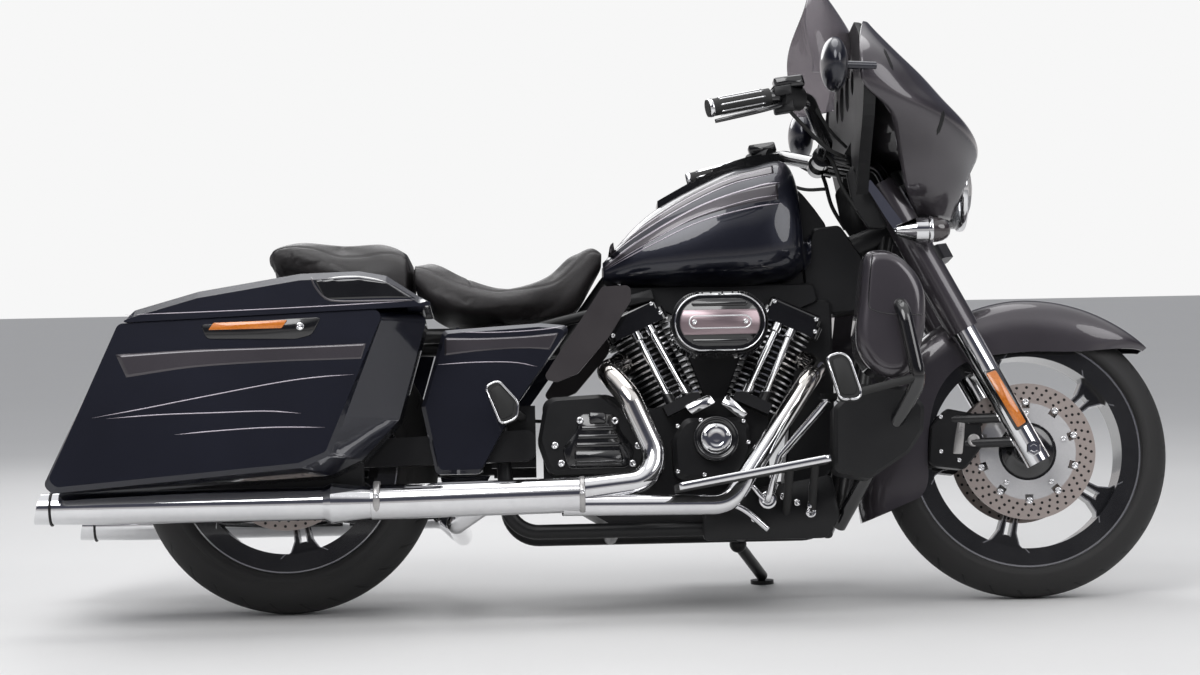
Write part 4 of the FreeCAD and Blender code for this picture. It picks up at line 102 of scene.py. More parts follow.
class CRUISER_PG_stage(bpy.types.PropertyGroup):
    lens: bpy.props.FloatProperty(name="Lens", description="Focal length of the camera", unit="CAMERA",
        default=85.515, min=20, max=300)
    place: bpy.props.FloatVectorProperty(name="Camera place", description="Where the camera stands",
        subtype="TRANSLATION", unit="LENGTH", size=3, default=(-0.1645, -6.3785, 0.7997))
    turn: bpy.props.FloatVectorProperty(name="Camera turn", description="Yaw, pitch and roll of the camera",
        subtype="EULER", unit="ROTATION", size=3, default=(-0.0219, -0.0326, 0.0193))
    floor: tint("Floor", "Pale colour of the floor", (0.72, 0.715, 0.71))


def paint():
    return bpy.context.scene.cruiser_paint


def trim():
    return bpy.context.scene.cruiser_trim


# Surfaces

def linked(name, data):
    """A new object of the scene."""
    item = bpy.data.objects.new(name, data)
    bpy.context.scene.collection.objects.link(item)
    return item


def mesh_object(name, points, faces, smooth=True):
    """A new object from points in mm of the bike's own frame and index faces."""
    mesh = bpy.data.meshes.new(name)
    mesh.from_pydata(parked(points).tolist(), [], [list(face) for face in faces])
    mesh.update()
    mesh.shade_smooth() if smooth else mesh.shade_flat()
    return linked(name, mesh)


def grid_faces(rows, columns, around=False, loop=False):
    """Index quads of a rows by columns grid; around closes the columns, loop closes the rows."""
    wide = columns if around else columns - 1
    tall = rows if loop else rows - 1
    i, j = np.meshgrid(np.arange(tall), np.arange(wide), indexing="ij")
    k, m = (i + 1) % rows, (j + 1) % columns
    quads = np.stack((i * columns + j, k * columns + j, k * columns + m, i * columns + m), axis=-1)
    return quads.reshape(-1, 4)


def closed_grid(grid, loop=False):
    """Points and faces of a grid whose columns go round, with a flat cap on each end unless it loops."""
    rows, columns = grid.shape[:2]
    faces = [tuple(quad) for quad in grid_faces(rows, columns, True, loop).tolist()]
    if not loop:
        faces.append(tuple(range(columns)))
        faces.append(tuple(range((rows - 1) * columns, rows * columns))[::-1])
    return grid.reshape(-1, 3), faces


def merged(parts):
    """Several (points, faces) as one."""
    points, faces, base = [], [], 0
    for some, quads in parts:
        points.append(some)
        faces += [tuple(index + base for index in quad) for quad in quads]
        base += len(some)
    return np.concatenate(points), faces


def unit(vectors):
    """Each vector divided by its length."""
    return vectors / np.linalg.norm(vectors, axis=-1, keepdims=True)


def sweep(path, section):
    """Section points (u, v) carried along a path: path + u * side + v * upper side, closed round."""
    path = np.asarray(path, float)
    section = np.asarray(section, float)
    tangent = unit(np.gradient(path, axis=0))
    helper = np.eye(3)[int(np.argmin(np.abs(unit(path[-1] - path[0] + 1e-6))))]
    side = unit(np.cross(tangent, helper))
    upper = np.cross(side, tangent)
    if section.ndim == 2:
        section = np.broadcast_to(section, (len(path), *section.shape))
    grid = (path[:, None] + section[..., :1] * side[:, None] + section[..., 1:] * upper[:, None])
    return closed_grid(grid[:, ::-1])


def circle(radius, sides=16):
    """Points of a circle, or of one circle for each radius where radius is an array."""
    angle = np.linspace(0, 2 * math.pi, sides, endpoint=False)
    ring = np.stack((np.cos(angle), np.sin(angle)), axis=-1)
    return np.asarray(radius, float)[..., None, None] * ring if np.ndim(radius) else radius * ring


def hermite(t, p, a, q, b):
    """Cubic from p to q whose slopes at its ends are a and b."""
    return ((2 * t**3 - 3 * t**2 + 1) * p + (t**3 - 2 * t**2 + t) * a + (3 * t**2 - 2 * t**3) * q
        + (t**3 - t**2) * b)


def smooth_path(points, count):
    """A curve through the points: cubic Hermite runs with tangents from the neighbours on either side."""
    points = np.asarray(points, float)
    slope = np.gradient(points, axis=0)
    at = np.linspace(0, len(points) - 1, count)
    index = np.minimum(at.astype(int), len(points) - 2)
    return hermite((at - index)[:, None], points[index], slope[index], points[index + 1], slope[index + 1])


def hose(points, radius, count=60, sides=12):
    """Round tube along a smooth curve through the points."""
    return sweep(smooth_path(points, count), circle(radius, sides))


def round_axis(axis, sides):
    """The unit axis, and directions square to it: cos(a) side + sin(a) upper for a full turn."""
    axis = unit(np.asarray(axis, float))
    helper = np.array((1.0, 0, 0)) if abs(axis[0]) < 0.9 else np.array((0, 0, 1.0))
    side = unit(np.cross(axis, helper))
    upper = np.cross(axis, side)
    angle = np.linspace(0, 2 * math.pi, sides, endpoint=False)
    return axis, np.cos(angle)[:, None] * side + np.sin(angle)[:, None] * upper


def lathe(profile, centre, axis=(0, 1, 0), sides=32):
    """Profile of (radius, height) turned round an axis through centre; heights run along the axis."""
    profile = np.asarray(profile, float)
    axis, ring = round_axis(axis, sides)
    grid = np.asarray(centre, float) + profile[:, :1, None] * ring + profile[:, 1:, None] * axis
    return closed_grid(grid[:, ::-1])


def ring_band(radius, half_width, rise, centre, axis=(0, 1, 0), sides=96):
    """Closed ring with a small rounded section: radius + half_width cos, rise sin, round an axis."""
    turn = np.linspace(0, 2 * math.pi, 8, endpoint=False)
    profile = np.stack((radius + half_width * np.cos(turn), rise * np.sin(turn)), axis=-1)
    axis, ring = round_axis(axis, sides)
    grid = np.asarray(centre, float) + profile[None, :, :1] * ring[:, None] + profile[None, :, 1:] * axis
    return closed_grid(grid, loop=True)


def screws(places, radius, height):
    """Domed cap screws with a socket: one profile turned round the bike's own Y at every place."""
    profile = [(radius, -height * 0.3), (radius, height * 0.7), (radius * 0.86, height * 0.96),
        (radius * 0.42, height * 0.98), (radius * 0.40, height * 0.55)]
    return merged([lathe(profile, place, OUTWARDS, 12) for place in places])


# Patterns that several finishes share

def new_group(name, inputs, outputs):
    """Empty node group; inputs hold names and defaults, whose kind is the socket's: none is a vector."""
    group = bpy.data.node_groups.new(name, "ShaderNodeTree")
    for label, default in inputs.items():
        kind = "Vector" if default is None else "Color" if isinstance(default, tuple) else "Float"
        socket = group.interface.new_socket(label, in_out="INPUT", socket_type="NodeSocket" + kind)
        if default is not None:
            socket.default_value = default
    for label in outputs:
        kind = "NodeSocketColor" if label == "Color" else "NodeSocketFloat"
        group.interface.new_socket(label, in_out="OUTPUT", socket_type=kind)
    return Wiring(group), group.nodes.new("NodeGroupInput").outputs, group.nodes.new("NodeGroupOutput").inputs


class Wiring:
    """Short hand for a node tree: makes nodes, sets or links their inputs, and hands back an output."""

    def __init__(self, tree):
        self.tree = tree

    def feed(self, socket, value):
        if isinstance(value, bpy.types.NodeSocket):
            self.tree.links.new(value, socket)
        elif isinstance(value, (tuple, list)) and socket.type == "RGBA":
            socket.default_value = (*value[:3], 1.0)
        else:
            socket.default_value = value

    def node(self, kind, settings=None, **inputs):
        item = self.tree.nodes.new("ShaderNode" + kind)
        for key, value in (settings or {}).items():
            setattr(item, key, value)
        for key, value in inputs.items():
            self.feed(item.inputs[int(key[1:])] if key[0] == "i" and key[1:].isdigit() else item.inputs[key],
                value)
        return item

    def math(self, operation, first, second=0.0, third=0.0):
        item = self.node("Math", {"operation": operation}, i0=first, i1=second)
        if operation in ("MULTIPLY_ADD", "SMOOTH_MIN", "COMPARE"):
            self.feed(item.inputs[2], third)
        return item.outputs[0]

    def times(self, first, second):
        return self.math("MULTIPLY", first, second)

    def plus(self, first, second):
        return self.math("ADD", first, second)

    def minus(self, first, second):
        return self.math("SUBTRACT", first, second)

    def most(self, first, second):
        return self.math("MAXIMUM", first, second)

    def size(self, value):
        return self.math("ABSOLUTE", value)

    def step(self, value, low, high):
        """Nothing at low, changing to one at high, and level beyond both."""
        return self.node("MapRange", i0=value, i1=low, i2=high).outputs[0]

    def band(self, value, low, high, soft=0.001):
        """One between low and high, falling to nothing over soft on either side."""
        rise = self.node("MapRange", i0=value, i1=low - soft, i2=low)
        fall = self.node("MapRange", i0=value, i1=high, i2=high + soft, i3=1.0, i4=0.0)
        return self.times(rise.outputs[0], fall.outputs[0])

    def mix(self, share, first, second):
        item = self.node("Mix", {"data_type": "RGBA"})
        self.feed(item.inputs["Factor"], share)
        self.feed(item.inputs[6], first)
        self.feed(item.inputs[7], second)
        return item.outputs[2]

    def blend(self, share, first, second):
        item = self.node("Mix", {"data_type": "FLOAT"})
        self.feed(item.inputs["Factor"], share)
        self.feed(item.inputs[2], first)
        self.feed(item.inputs[3], second)
        return item.outputs[0]


@cache
def grain_group():
    """Uneven surface: large soft patches and a fine grain, as a colour, a roughness and a height."""
    w, at, end = new_group("surface_grain", {"Vector": None, "Grain Scale": 900.0, "Patch Scale": 14.0,
        "Low Color": (0, 0, 0, 1), "High Color": (1, 1, 1, 1), "Low Roughness": 0.3, "High Roughness": 0.5,
        "Grain Share": 0.5}, ("Color", "Roughness", "Height"))
    fine = w.node("TexNoise", Vector=at["Vector"], Scale=at["Grain Scale"], Detail=3.0)
    patch = w.node("TexNoise", Vector=at["Vector"], Scale=at["Patch Scale"], Detail=4.0)
    spread = w.step(w.blend(at["Grain Share"], patch.outputs[0], fine.outputs[0]), 0.32, 0.68)
    w.feed(end["Color"], w.mix(spread, at["Low Color"], at["High Color"]))
    w.feed(end["Roughness"], w.blend(spread, at["Low Roughness"], at["High Roughness"]))
    w.feed(end["Height"], fine.outputs[0])
    return w.tree


@cache
def polar_group():
    """Distance from the Y axis in mm, the turn round it from -0.5 to 0.5, and the place along it in mm."""
    w, at, end = new_group("round_the_axle", {"Vector": None}, ("Radius", "Turn", "Across"))
    x, y, z = w.node("SeparateXYZ", Vector=at[0]).outputs
    square = w.plus(w.times(x, x), w.times(z, z))
    w.feed(end["Radius"], w.times(w.math("SQRT", square), 1000.0))
    w.feed(end["Turn"], w.math("DIVIDE", w.math("ARCTAN2", z, x), 2 * math.pi))
    w.feed(end["Across"], w.times(y, 1000.0))
    return w.tree


@cache
def dots_group():
    """Round holes on one circle: how many, its radius, the holes' radius and their turn, as a mask."""
    w, at, end = new_group("holes_on_a_circle", {"Radius": 0.0, "Turn": 0.0, "Count": 30.0, "Circle": 130.0,
        "Hole": 3.0, "Offset": 0.0}, ("Mask",))
    step = w.plus(w.times(at["Turn"], at["Count"]), at["Offset"])
    near = w.minus(w.math("FRACT", step), 0.5)
    along = w.times(near, w.math("DIVIDE", w.times(at["Circle"], 2 * math.pi), at["Count"]))
    out = w.minus(at["Radius"], at["Circle"])
    away = w.math("SQRT", w.plus(w.times(along, along), w.times(out, out)))
    w.feed(end["Mask"], w.step(w.minus(away, at["Hole"]), 0.3, -0.3))
    return w.tree


class Finish(Wiring):
    """A material in the making: a Principled shader over the object's own coordinates."""

    def __init__(self, name, centre=None):
        self.material = bpy.data.materials.new(name)
        self.material.use_nodes = True
        super().__init__(self.material.node_tree)
        self.shader = self.tree.nodes["Principled BSDF"]
        self.where = self.node("TexCoord").outputs["Object"]
        if centre is not None:
            corner = parked(centre)
            self.where = self.node("Mapping", {"vector_type": "TEXTURE"}, Vector=self.where,
                Location=tuple(corner), Rotation=(LEAN, 0.0, 0.0)).outputs[0]

    def set(self, **inputs):
        for key, value in inputs.items():
            self.feed(self.shader.inputs[key.replace("_", " ")], value)
        return self

    def pattern(self, group, *values):
        """A shared pattern group with its inputs fed in their order."""
        item = self.tree.nodes.new("ShaderNodeGroup")
        item.node_tree = group
        for socket, value in zip(item.inputs, values):
            self.feed(socket, value)
        return item.outputs

    def grain(self, low, high, rough, fine=900.0, patch=14.0, share=0.5):
        return self.pattern(grain_group(), self.where, fine, patch, low, high, *rough, share)

    def places(self):
        return self.node("SeparateXYZ", Vector=self.where).outputs

    def polar(self):
        return self.pattern(polar_group(), self.where)

    def dots(self, radius, turn, count, circle_radius, hole, offset=0.0):
        return self.pattern(dots_group(), radius, turn, count, circle_radius, hole, offset)[0]

    def bump(self, height, distance, strength=1.0):
        item = self.node("Bump", Height=height, Distance=distance, Strength=strength)
        self.feed(self.shader.inputs["Normal"], item.outputs[0])
        return self

    def plain(self, low, high, rough, fine=900.0, patch=14.0, share=0.5, lift=0.0):
        """Whole finish from the grain pattern alone, with lift metres of relief."""
        found = self.grain(low, high, rough, fine, patch, share)
        self.set(Base_Color=found["Color"], Roughness=found["Roughness"])
        return self.bump(found["Height"], lift) if lift else self


PLAIN_FINISHES = {
    # dark and light tone, roughness from and to, grain scale, patch scale, grain share, relief, shader values
    "polished": ((0.74, 0.745, 0.76), (0.82, 0.82, 0.83), (0.045, 0.10), 60.0, 9.0, 0.4, 0.0,
                 {"Metallic": 1.0}),
    "satin_steel": ((0.34, 0.33, 0.33), (0.48, 0.47, 0.46), (0.26, 0.38), 700.0, 20.0, 0.5, 0.00002,
                    {"Metallic": 0.6}),
    "machined": ((0.62, 0.62, 0.63), (0.78, 0.78, 0.79), (0.18, 0.28), 1500.0, 20.0, 0.5, 0.0,
                 {"Metallic": 0.65}),
    "black_metal": ((0.006, 0.006, 0.0065), (0.013, 0.013, 0.014), (0.30, 0.42), 1400.0, 12.0, 0.6, 0.00003,
                    {"Specular_IOR_Level": 0.3}),
    "gloss_black": ((0.004, 0.004, 0.0045), (0.009, 0.009, 0.010), (0.12, 0.20), 900.0, 9.0, 0.4, 0.0,
                    {"Coat_Weight": 0.8, "Coat_Roughness": 0.05}),
    "black_rubber": ((0.007, 0.007, 0.007), (0.016, 0.016, 0.016), (0.60, 0.76), 1100.0, 18.0, 0.6, 0.00006,
                     {}),
    "clear_lens": ((0.855, 0.874, 0.9025), (0.90, 0.92, 0.95), (0.02, 0.05), 50.0, 8.0, 0.4, 0.0,
                   {"Transmission_Weight": 0.92, "IOR": 1.35, "Coat_Weight": 0.5, "Coat_Roughness": 0.02}),
    "smoked_lens": ((0.030, 0.024, 0.026), (0.055, 0.046, 0.048), (0.05, 0.09), 120.0, 12.0, 0.4, 0.0,
                    {"Coat_Weight": 1.0, "Coat_Roughness": 0.02}),
    "flap_satin": ((0.024, 0.020, 0.022), (0.036, 0.031, 0.033), (0.30, 0.40), 1200.0, 10.0, 0.5, 0.0, {}),
}


@cache
def finish(name):
    """A finish by its name, made at its first use."""
    if name in PLAIN_FINISHES:
        *pattern, values = PLAIN_FINISHES[name]
        return Finish(name).plain(*pattern).set(**values).material
    return RECIPES[name](name).material


def lacquer(name, colour):
    """Metallic paint in one of the user's colours: fine flakes vary it under a clear coat."""
    tone = np.array(getattr(paint(), colour))
    made = Finish(name)
    made.plain(tuple(tone * 0.72), tuple(tone * 1.45), (0.30, 0.38), 2600.0, 5.0, 0.7)
    return made.set(Metallic=0.55, Coat_Weight=1.0, Coat_Roughness=0.035, Coat_IOR=1.5)


def black_plastic(name):
    """Moulded plastic with a fine leather-like texture."""
    made = Finish(name)
    found = made.grain((0.007, 0.007, 0.0075), (0.014, 0.014, 0.015), (0.40, 0.54), 1500.0, 10.0, 0.6)
    cells = made.node("TexVoronoi", {"feature": "DISTANCE_TO_EDGE"}, Vector=made.where, Scale=900.0)
    made.set(Base_Color=found["Color"], Roughness=found["Roughness"], Specular_IOR_Level=0.3)
    return made.bump(cells.outputs[0], 0.00008)


def leather(name):
    """Black leather: a net of fine creases over soft folds, duller where it is worn; the creases are painted
    darker as shade.
    """
    tone = np.array(paint().leather)
    made = Finish(name)
    found = made.grain(tuple(tone * 0.8), tuple(tone * 1.9), (0.36, 0.52), 260.0, 7.0, 0.45)
    cells = made.node("TexVoronoi", {"feature": "DISTANCE_TO_EDGE"}, Vector=made.where, Scale=330.0)
    crease = made.step(cells.outputs[0], 0.0, 0.12)
    # Painted shade: along the creases the colour falls to 0.55 of the leather's tone.
    made.set(Base_Color=made.mix(crease, tuple(tone * 0.55), found["Color"]), Roughness=found["Roughness"],
        Specular_IOR_Level=0.45)
    return made.bump(crease, 0.00022, 0.8)


def tyre_rubber(name, centre, crown, radius):
    """Rubber with curved tread grooves cut across the crown and fine rings on the side walls; the grooves are
    painted near black as shade.
    """
    made = Finish(name, centre)
    polar = made.polar()
    across = made.size(polar["Across"])
    bend = made.times(polar["Across"], 0.0075)
    phase = made.plus(made.times(polar["Turn"], 30.0), made.times(bend, bend))
    lean = made.plus(phase, made.times(made.size(bend), 1.1))
    tooth = made.size(made.minus(made.math("FRACT", lean), 0.5))
    crosswise = made.band(across, crown * 0.14, crown * 0.62, 1.5)
    groove = made.times(made.band(tooth, 0.0, 0.045, 0.02), crosswise)
    centre_line = made.band(across, 0.0, 1.8, 0.8)
    outer = made.band(polar["Radius"], radius * 0.84, radius * 1.2, 1.0)
    tread = made.times(made.most(groove, centre_line), outer)
    ribs = made.math("SINE", made.times(polar["Radius"], 2.2))
    side = made.times(ribs, made.band(polar["Radius"], radius * 0.80, radius * 0.845, 1.0))
    found = made.grain((0.008, 0.008, 0.008), (0.019, 0.018, 0.018), (0.58, 0.76), 700.0, 16.0, 0.5)
    # Painted shade: the tread grooves and the centre groove are coloured near black, darker than the rubber.
    made.set(Base_Color=made.mix(tread, found["Color"], (0.004, 0.004, 0.004)), Roughness=found["Roughness"])
    height = made.plus(made.times(tread, -1.0), made.times(side, 0.12))
    return made.bump(height, 0.002)


def wheel_black(name, centre, turn, root, end, side):
    """Gloss black cast wheel whose spokes have machined edges on their outer faces.

    The turn is folded into one spoke's share of the circle: t is the distance across the spoke and its
    half width follows the casting's flare, so the bright band keeps to the outline; the normal across the
    wheel keeps it off the barrel."""
    made = Finish(name, centre)
    polar = made.polar()
    shifted = made.minus(made.times(polar["Turn"], 5.0), turn)
    folded = made.minus(made.math("FRACT", made.plus(shifted, 0.5)), 0.5)
    angle = made.times(folded, 2 * math.pi / 5)
    t = made.size(made.times(polar["Radius"], made.math("SINE", angle)))
    along = made.times(polar["Radius"], made.math("COSINE", angle))
    share = made.step(along, float(root), float(end))
    ramp = made.node("FloatCurve")
    made.feed(ramp.inputs["Value"], share)
    curve = ramp.mapping.curves[0]
    flare = ((0.0, 0.22), (0.5, 0.0), (0.78, 0.12), (0.92, 0.45), (1.0, 1.0))
    curve.points[0].location, curve.points[1].location = flare[0], flare[-1]
    for spot in flare[1:-1]:
        curve.points.new(*spot)
    for point in curve.points:
        point.handle_type = "VECTOR"
    ramp.mapping.update()
    half = made.math("MULTIPLY_ADD", ramp.outputs[0], 36.0, 16.0)
    rim_edge = made.band(made.minus(half, t), -0.5, 2.6, 0.4)
    slot_edge = made.times(made.band(t, 6.0, 9.2, 0.4), made.band(along, root + 37.0, end - 29.0, 2.0))
    facing = made.size(made.node("SeparateXYZ", Vector=made.node("VectorTransform",
        {"vector_type": "NORMAL", "convert_from": "OBJECT", "convert_to": "OBJECT"},
        i0=made.node("TexCoord").outputs["Normal"]).outputs[0]).outputs[1])
    flat = made.step(facing, 0.80, 0.93)
    spokes = made.times(made.most(rim_edge, slot_edge), made.band(along, root + 18.0, end, 1.0))
    stripe = made.band(polar["Radius"], side[0], side[1], 0.4)
    bright = made.times(made.most(spokes, stripe), flat)
    found = made.grain((0.010, 0.010, 0.011), (0.018, 0.018, 0.019), (0.16, 0.26), 900.0, 9.0, 0.4)
    made.set(Base_Color=made.mix(bright, found["Color"], (0.66, 0.66, 0.67)), Metallic=bright,
        Roughness=made.blend(bright, found["Roughness"], 0.22), Coat_Roughness=0.06,
        Coat_Weight=made.blend(bright, 0.7, 0.0))
    return made


def disc_steel(name, centre):
    """Floating disc: bronze-grey rotor with three staggered rows of holes painted near black as shade, and a
    bright carrier.
    """
    made = Finish(name, centre)
    polar = made.polar()
    first, second, third = (made.dots(polar["Radius"], polar["Turn"], 40.0, spot, 3.1, turn)
        for spot, turn in ((117.0, 0.0), (129.0, 0.33), (141.0, 0.66)))
    hole = made.most(made.most(first, second), third)
    rotor = made.band(polar["Radius"], 107.0, 200.0, 0.6)
    rings = made.node("TexNoise", {"noise_dimensions": "1D"}, W=made.times(polar["Radius"], 3.0),
        Detail=3.0).outputs[0]
    swirl = made.mix(rings, (0.36, 0.305, 0.285), (0.50, 0.435, 0.405))
    carrier = made.grain((0.70, 0.69, 0.69), (0.84, 0.83, 0.83), (0.08, 0.16), 500.0, 12.0, 0.4)
    metal = made.mix(rotor, carrier["Color"], swirl)
    # Painted shade: the holes are not cut through; they are coloured near black, as the dark inside them.
    made.set(Base_Color=made.mix(hole, metal, (0.006, 0.006, 0.006)),
        Metallic=made.times(made.minus(1.0, hole), 0.45), Roughness=made.blend(rotor, carrier["Roughness"],
        0.30))
    return made.bump(made.times(hole, -1.0), 0.0012)


def fin_metal(name):
    """Black cylinder whose fins are machined bright at their rims.

    The distance along the bike from the crank is folded onto one cylinder, turned by half the vee, and
    the rim is where the distance from the cylinder's own axis nears the fins' radius."""
    made = Finish(name, CRANK)
    parts = made.places()
    ahead = made.size(parts[0])
    off = made.minus(made.times(ahead, math.cos(VEE_HALF_ANGLE)),
        made.times(parts[2], math.sin(VEE_HALF_ANGLE)))
    away = made.math("SQRT", made.plus(made.times(off, off), made.times(parts[1], parts[1])))
    bright = made.band(made.times(away, 1000.0), 73.2, 80.0, 0.3)
    found = made.grain((0.012, 0.012, 0.013), (0.030, 0.030, 0.031), (0.46, 0.60), 900.0, 14.0, 0.5)
    made.set(Base_Color=made.mix(bright, found["Color"], (0.60, 0.60, 0.61)), Metallic=bright,
        Roughness=made.blend(bright, found["Roughness"], 0.24))
    return made.bump(found["Height"], 0.0001)


def pushrod_chrome(name):
    """Chrome tubes on black tappet blocks: the height above the crank parts them."""
    made = Finish(name, CRANK)
    height = made.places()[2]
    tube = made.step(height, 0.204, 0.206)
    return two_metals(made, tube)


def slider_chrome(name):
    """Chrome fork leg with black caliper arms: the distance from the leg's raked line parts them."""
    made = Finish(name, FRONT_AXLE)
    parts = made.places()
    off = made.plus(made.times(parts[0], 0.887), made.times(parts[2], 0.4617))
    leg = made.step(off, -0.0300, -0.0292)
    return two_metals(made, leg)


def two_metals(made, chrome):
    """Chrome where the mask is 1 and satin black where it is 0."""
    bright = made.grain((0.74, 0.745, 0.76), (0.82, 0.82, 0.83), (0.05, 0.11), 60.0, 9.0, 0.4)
    made.set(Base_Color=made.mix(chrome, (0.008, 0.008, 0.009), bright["Color"]), Metallic=chrome,
        Roughness=made.blend(chrome, 0.34, bright["Roughness"]))
    return made


def pipe_chrome(name):
    """Chrome of the exhaust, straw-tinted where it leaves the heads."""
    made = Finish(name)
    found = made.grain((0.72, 0.72, 0.735), (0.80, 0.80, 0.81), (0.05, 0.11), 70.0, 9.0, 0.4)
    height = made.places()[2]
    hot = made.step(height, 0.36, 0.50)
    made.set(Base_Color=made.mix(made.times(hot, 0.35), found["Color"], (0.66, 0.57, 0.44)),
        Roughness=found["Roughness"], Metallic=1.0)
    return made


def smoked_screen(name):
    """Tinted clear plastic with painted shade: its colour darkens where the surface is seen edge-on."""
    tone = np.array(paint().screen)
    made = Finish(name)
    found = made.grain(tuple(tone * 0.92), tuple(tone * 1.05), (0.03, 0.06), 30.0, 4.0, 0.3)
    edge = made.node("LayerWeight", Blend=0.25).outputs["Facing"]
    # Painted shade: the tint falls to 0.55 of its tone where the screen is seen edge-on.
    made.set(Base_Color=made.mix(edge, found["Color"], tuple(tone * 0.55)), Roughness=found["Roughness"],
        Metallic=0.0, Transmission_Weight=0.70, IOR=1.08, Coat_Weight=0.6, Coat_Roughness=0.03,
        Specular_IOR_Level=0.5)
    return made


def faceted(name, deep, pale):
    """Reflex reflector: rows of small prisms under a gloss surface, with painted shade that deepens the
    colour towards each prism's edges.
    """
    made = Finish(name)
    cells = made.node("TexVoronoi", {"feature": "F1", "distance": "CHEBYCHEV"}, Vector=made.where,
        Scale=420.0, Randomness=0.0)
    found = made.grain(deep, pale, (0.08, 0.16), 300.0, 30.0, 0.5)
    # Painted shade: the colour deepens from each prism's middle towards its edges.
    made.set(Base_Color=made.mix(cells.outputs["Distance"], found["Color"], deep),
        Roughness=found["Roughness"], Coat_Weight=1.0, Coat_Roughness=0.03)
    return made.bump(cells.outputs["Distance"], 0.0004, 0.6)


def mauve_band(name):
    """Brushed mauve-pink metal of the air cleaner's band."""
    made = Finish(name)
    stretch = made.node("Mapping", Vector=made.where, Scale=(30.0, 1.0, 1400.0)).outputs[0]
    brushed = made.node("TexNoise", Vector=stretch, Scale=1.0, Detail=4.0).outputs[0]
    made.set(Base_Color=made.mix(brushed, (0.26, 0.20, 0.215), (0.38, 0.30, 0.32)), Metallic=0.85,
        Roughness=made.blend(brushed, 0.24, 0.38))
    return made


RECIPES = {
    "body_lacquer": partial(lacquer, colour="body"),
    "accent_lacquer": partial(lacquer, colour="accent"),
    "stripe_lacquer": partial(lacquer, colour="stripe"),
    "black_plastic": black_plastic, "leather": leather, "fin_metal": fin_metal, "pipe_chrome": pipe_chrome,
    "pushrod_chrome": pushrod_chrome, "slider_chrome": slider_chrome, "mauve_band": mauve_band,
    "smoked_screen": smoked_screen,
    "front_rubber": partial(tyre_rubber, centre=FRONT_AXLE, crown=68.0, radius=319.0),
    "rear_rubber": partial(tyre_rubber, centre=REAR_AXLE, crown=92.0, radius=327.6),
    "front_wheel_black": partial(wheel_black, centre=FRONT_AXLE, turn=5 * (90.0 + 22.0) / 360.0, root=42.0,
                                 end=215.5, side=(250.2, 253.2)),
    "rear_wheel_black": partial(wheel_black, centre=REAR_AXLE, turn=5 * (90.0 - 26.0) / 360.0, root=46.0,
                                end=203.5, side=(239.0, 242.0)),
    "front_disc_steel": partial(disc_steel, centre=FRONT_AXLE),
    "rear_disc_steel": partial(disc_steel, centre=REAR_AXLE),
    "amber": partial(faceted, deep=(0.50, 0.13, 0.012), pale=(0.82, 0.27, 0.03)),
    "red_lens": partial(faceted, deep=(0.22, 0.006, 0.006), pale=(0.45, 0.015, 0.012)),
}

NODES_OF_FINISH = {
    "front_rubber": "front_tyre",
    "rear_rubber": "rear_tyre",
    "front_wheel_black": "front_rim",
    "rear_wheel_black": "rear_rim",
    "front_disc_steel": "front_discs",
    "rear_disc_steel": "rear_disc_and_pulley",
    "polished": "front_axle rear_axle turn_signals mufflers brake_pedal",
    "black_metal": "fork_clamps front_calipers frame swingarm crankcase engine_covers side_stand "
                   "plate_bracket",
    "slider_chrome": "fork_sliders",
    "accent_lacquer": "fork_covers front_fender fairing lower_fairings",
    "body_lacquer": "rear_fender mirrors fuel_tank saddlebag_right saddlebag_left saddlebag_lid_right "
                    "saddlebag_lid_left side_covers",
    "black_plastic": "inner_fairing bar_controls radiators",
    "clear_lens": "headlamp",
    "smoked_screen": "windshield",
    "gloss_black": "handlebar rocker_covers air_cleaner tank_console fuel_door engine_guard",
    "black_rubber": "grips drive_belt foot_pegs floorboards",
    "fin_metal": "cylinders",
    "pushrod_chrome": "pushrods",
    "pipe_chrome": "exhaust_pipes",
    "leather": "rider_seat pillion_seat",
    "flap_satin": "frame_flaps",
    "red_lens": "tail_lamps",
}


def dress(item, name):
    """Gives an object one finish on all its material slots."""
    material = finish(name)
    if item.data.materials:
        for index in range(len(item.data.materials)):
            item.data.materials[index] = material
    else:
        item.data.materials.append(material)


def fitted(item, body, finish_name):
    """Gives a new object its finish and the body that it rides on."""
    dress(item, finish_name)
    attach(item, body)
    return item


def piece(name, finish_name, parts, smooth=True, slot=None, body="chassis"):
    """A new piece from (points, faces) parts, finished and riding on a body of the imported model."""
    item = mesh_object(name, *merged(parts if isinstance(parts, list) else [parts]), smooth)
    return fitted(item, body, finish_name)


steered = partial(piece, body="steering")
rolled = partial(piece, body="front_wheel")


# Seats

SEAT_ROWS = (
    # shares along, of the rise for the top and the bottom, of the half width, and the widest level
    (0.0, 0.80, 0.42, 0.86, 0.4), (0.10, 0.76, 0.16, 0.95, 0.4), (0.25, 0.55, 0.02, 1.0, 0.5),
    (0.45, 0.395, 0.0, 1.0, 0.5), (0.60, 0.44, 0.02, 0.90, 0.5), (0.74, 0.60, 0.06, 0.68, 0.5),
    (0.86, 0.90, 0.20, 0.50, 0.5), (0.94, 1.0, 0.50, 0.42, 0.5), (1.0, 0.94, 0.74, 0.34, 0.5),
)
PILLION_ROWS = (
    (0.0, 0.84, 0.60, 0.62, 0.4), (0.06, 0.96, 0.55, 0.82, 0.4), (0.25, 0.99, 0.40, 0.96, 0.4),
    (0.55, 0.934, 0.14, 1.0, 0.4), (0.85, 0.953, 0.02, 1.0, 0.4), (1.0, 0.865, 0.0, 0.96, 0.4),
)

# Rear end, length, lowest level, rise and half width of each seat in mm, as packed
RIDER_SIZES = (284.0, 414.0, 626.0, 182.0, 172.0)
PILLION_SIZES = (-45.0, 322.0, 660.0, 155.0, 140.0)
SEAT_ROUNDNESS = 3.0
FOAM_INSET, FOAM_VOXEL, FOAM_PRESSURE, FOAM_STIFFNESS, FOAM_FRAMES = 5.0, 0.006, 4.0, 15.0, 20
AWAY = 1e3


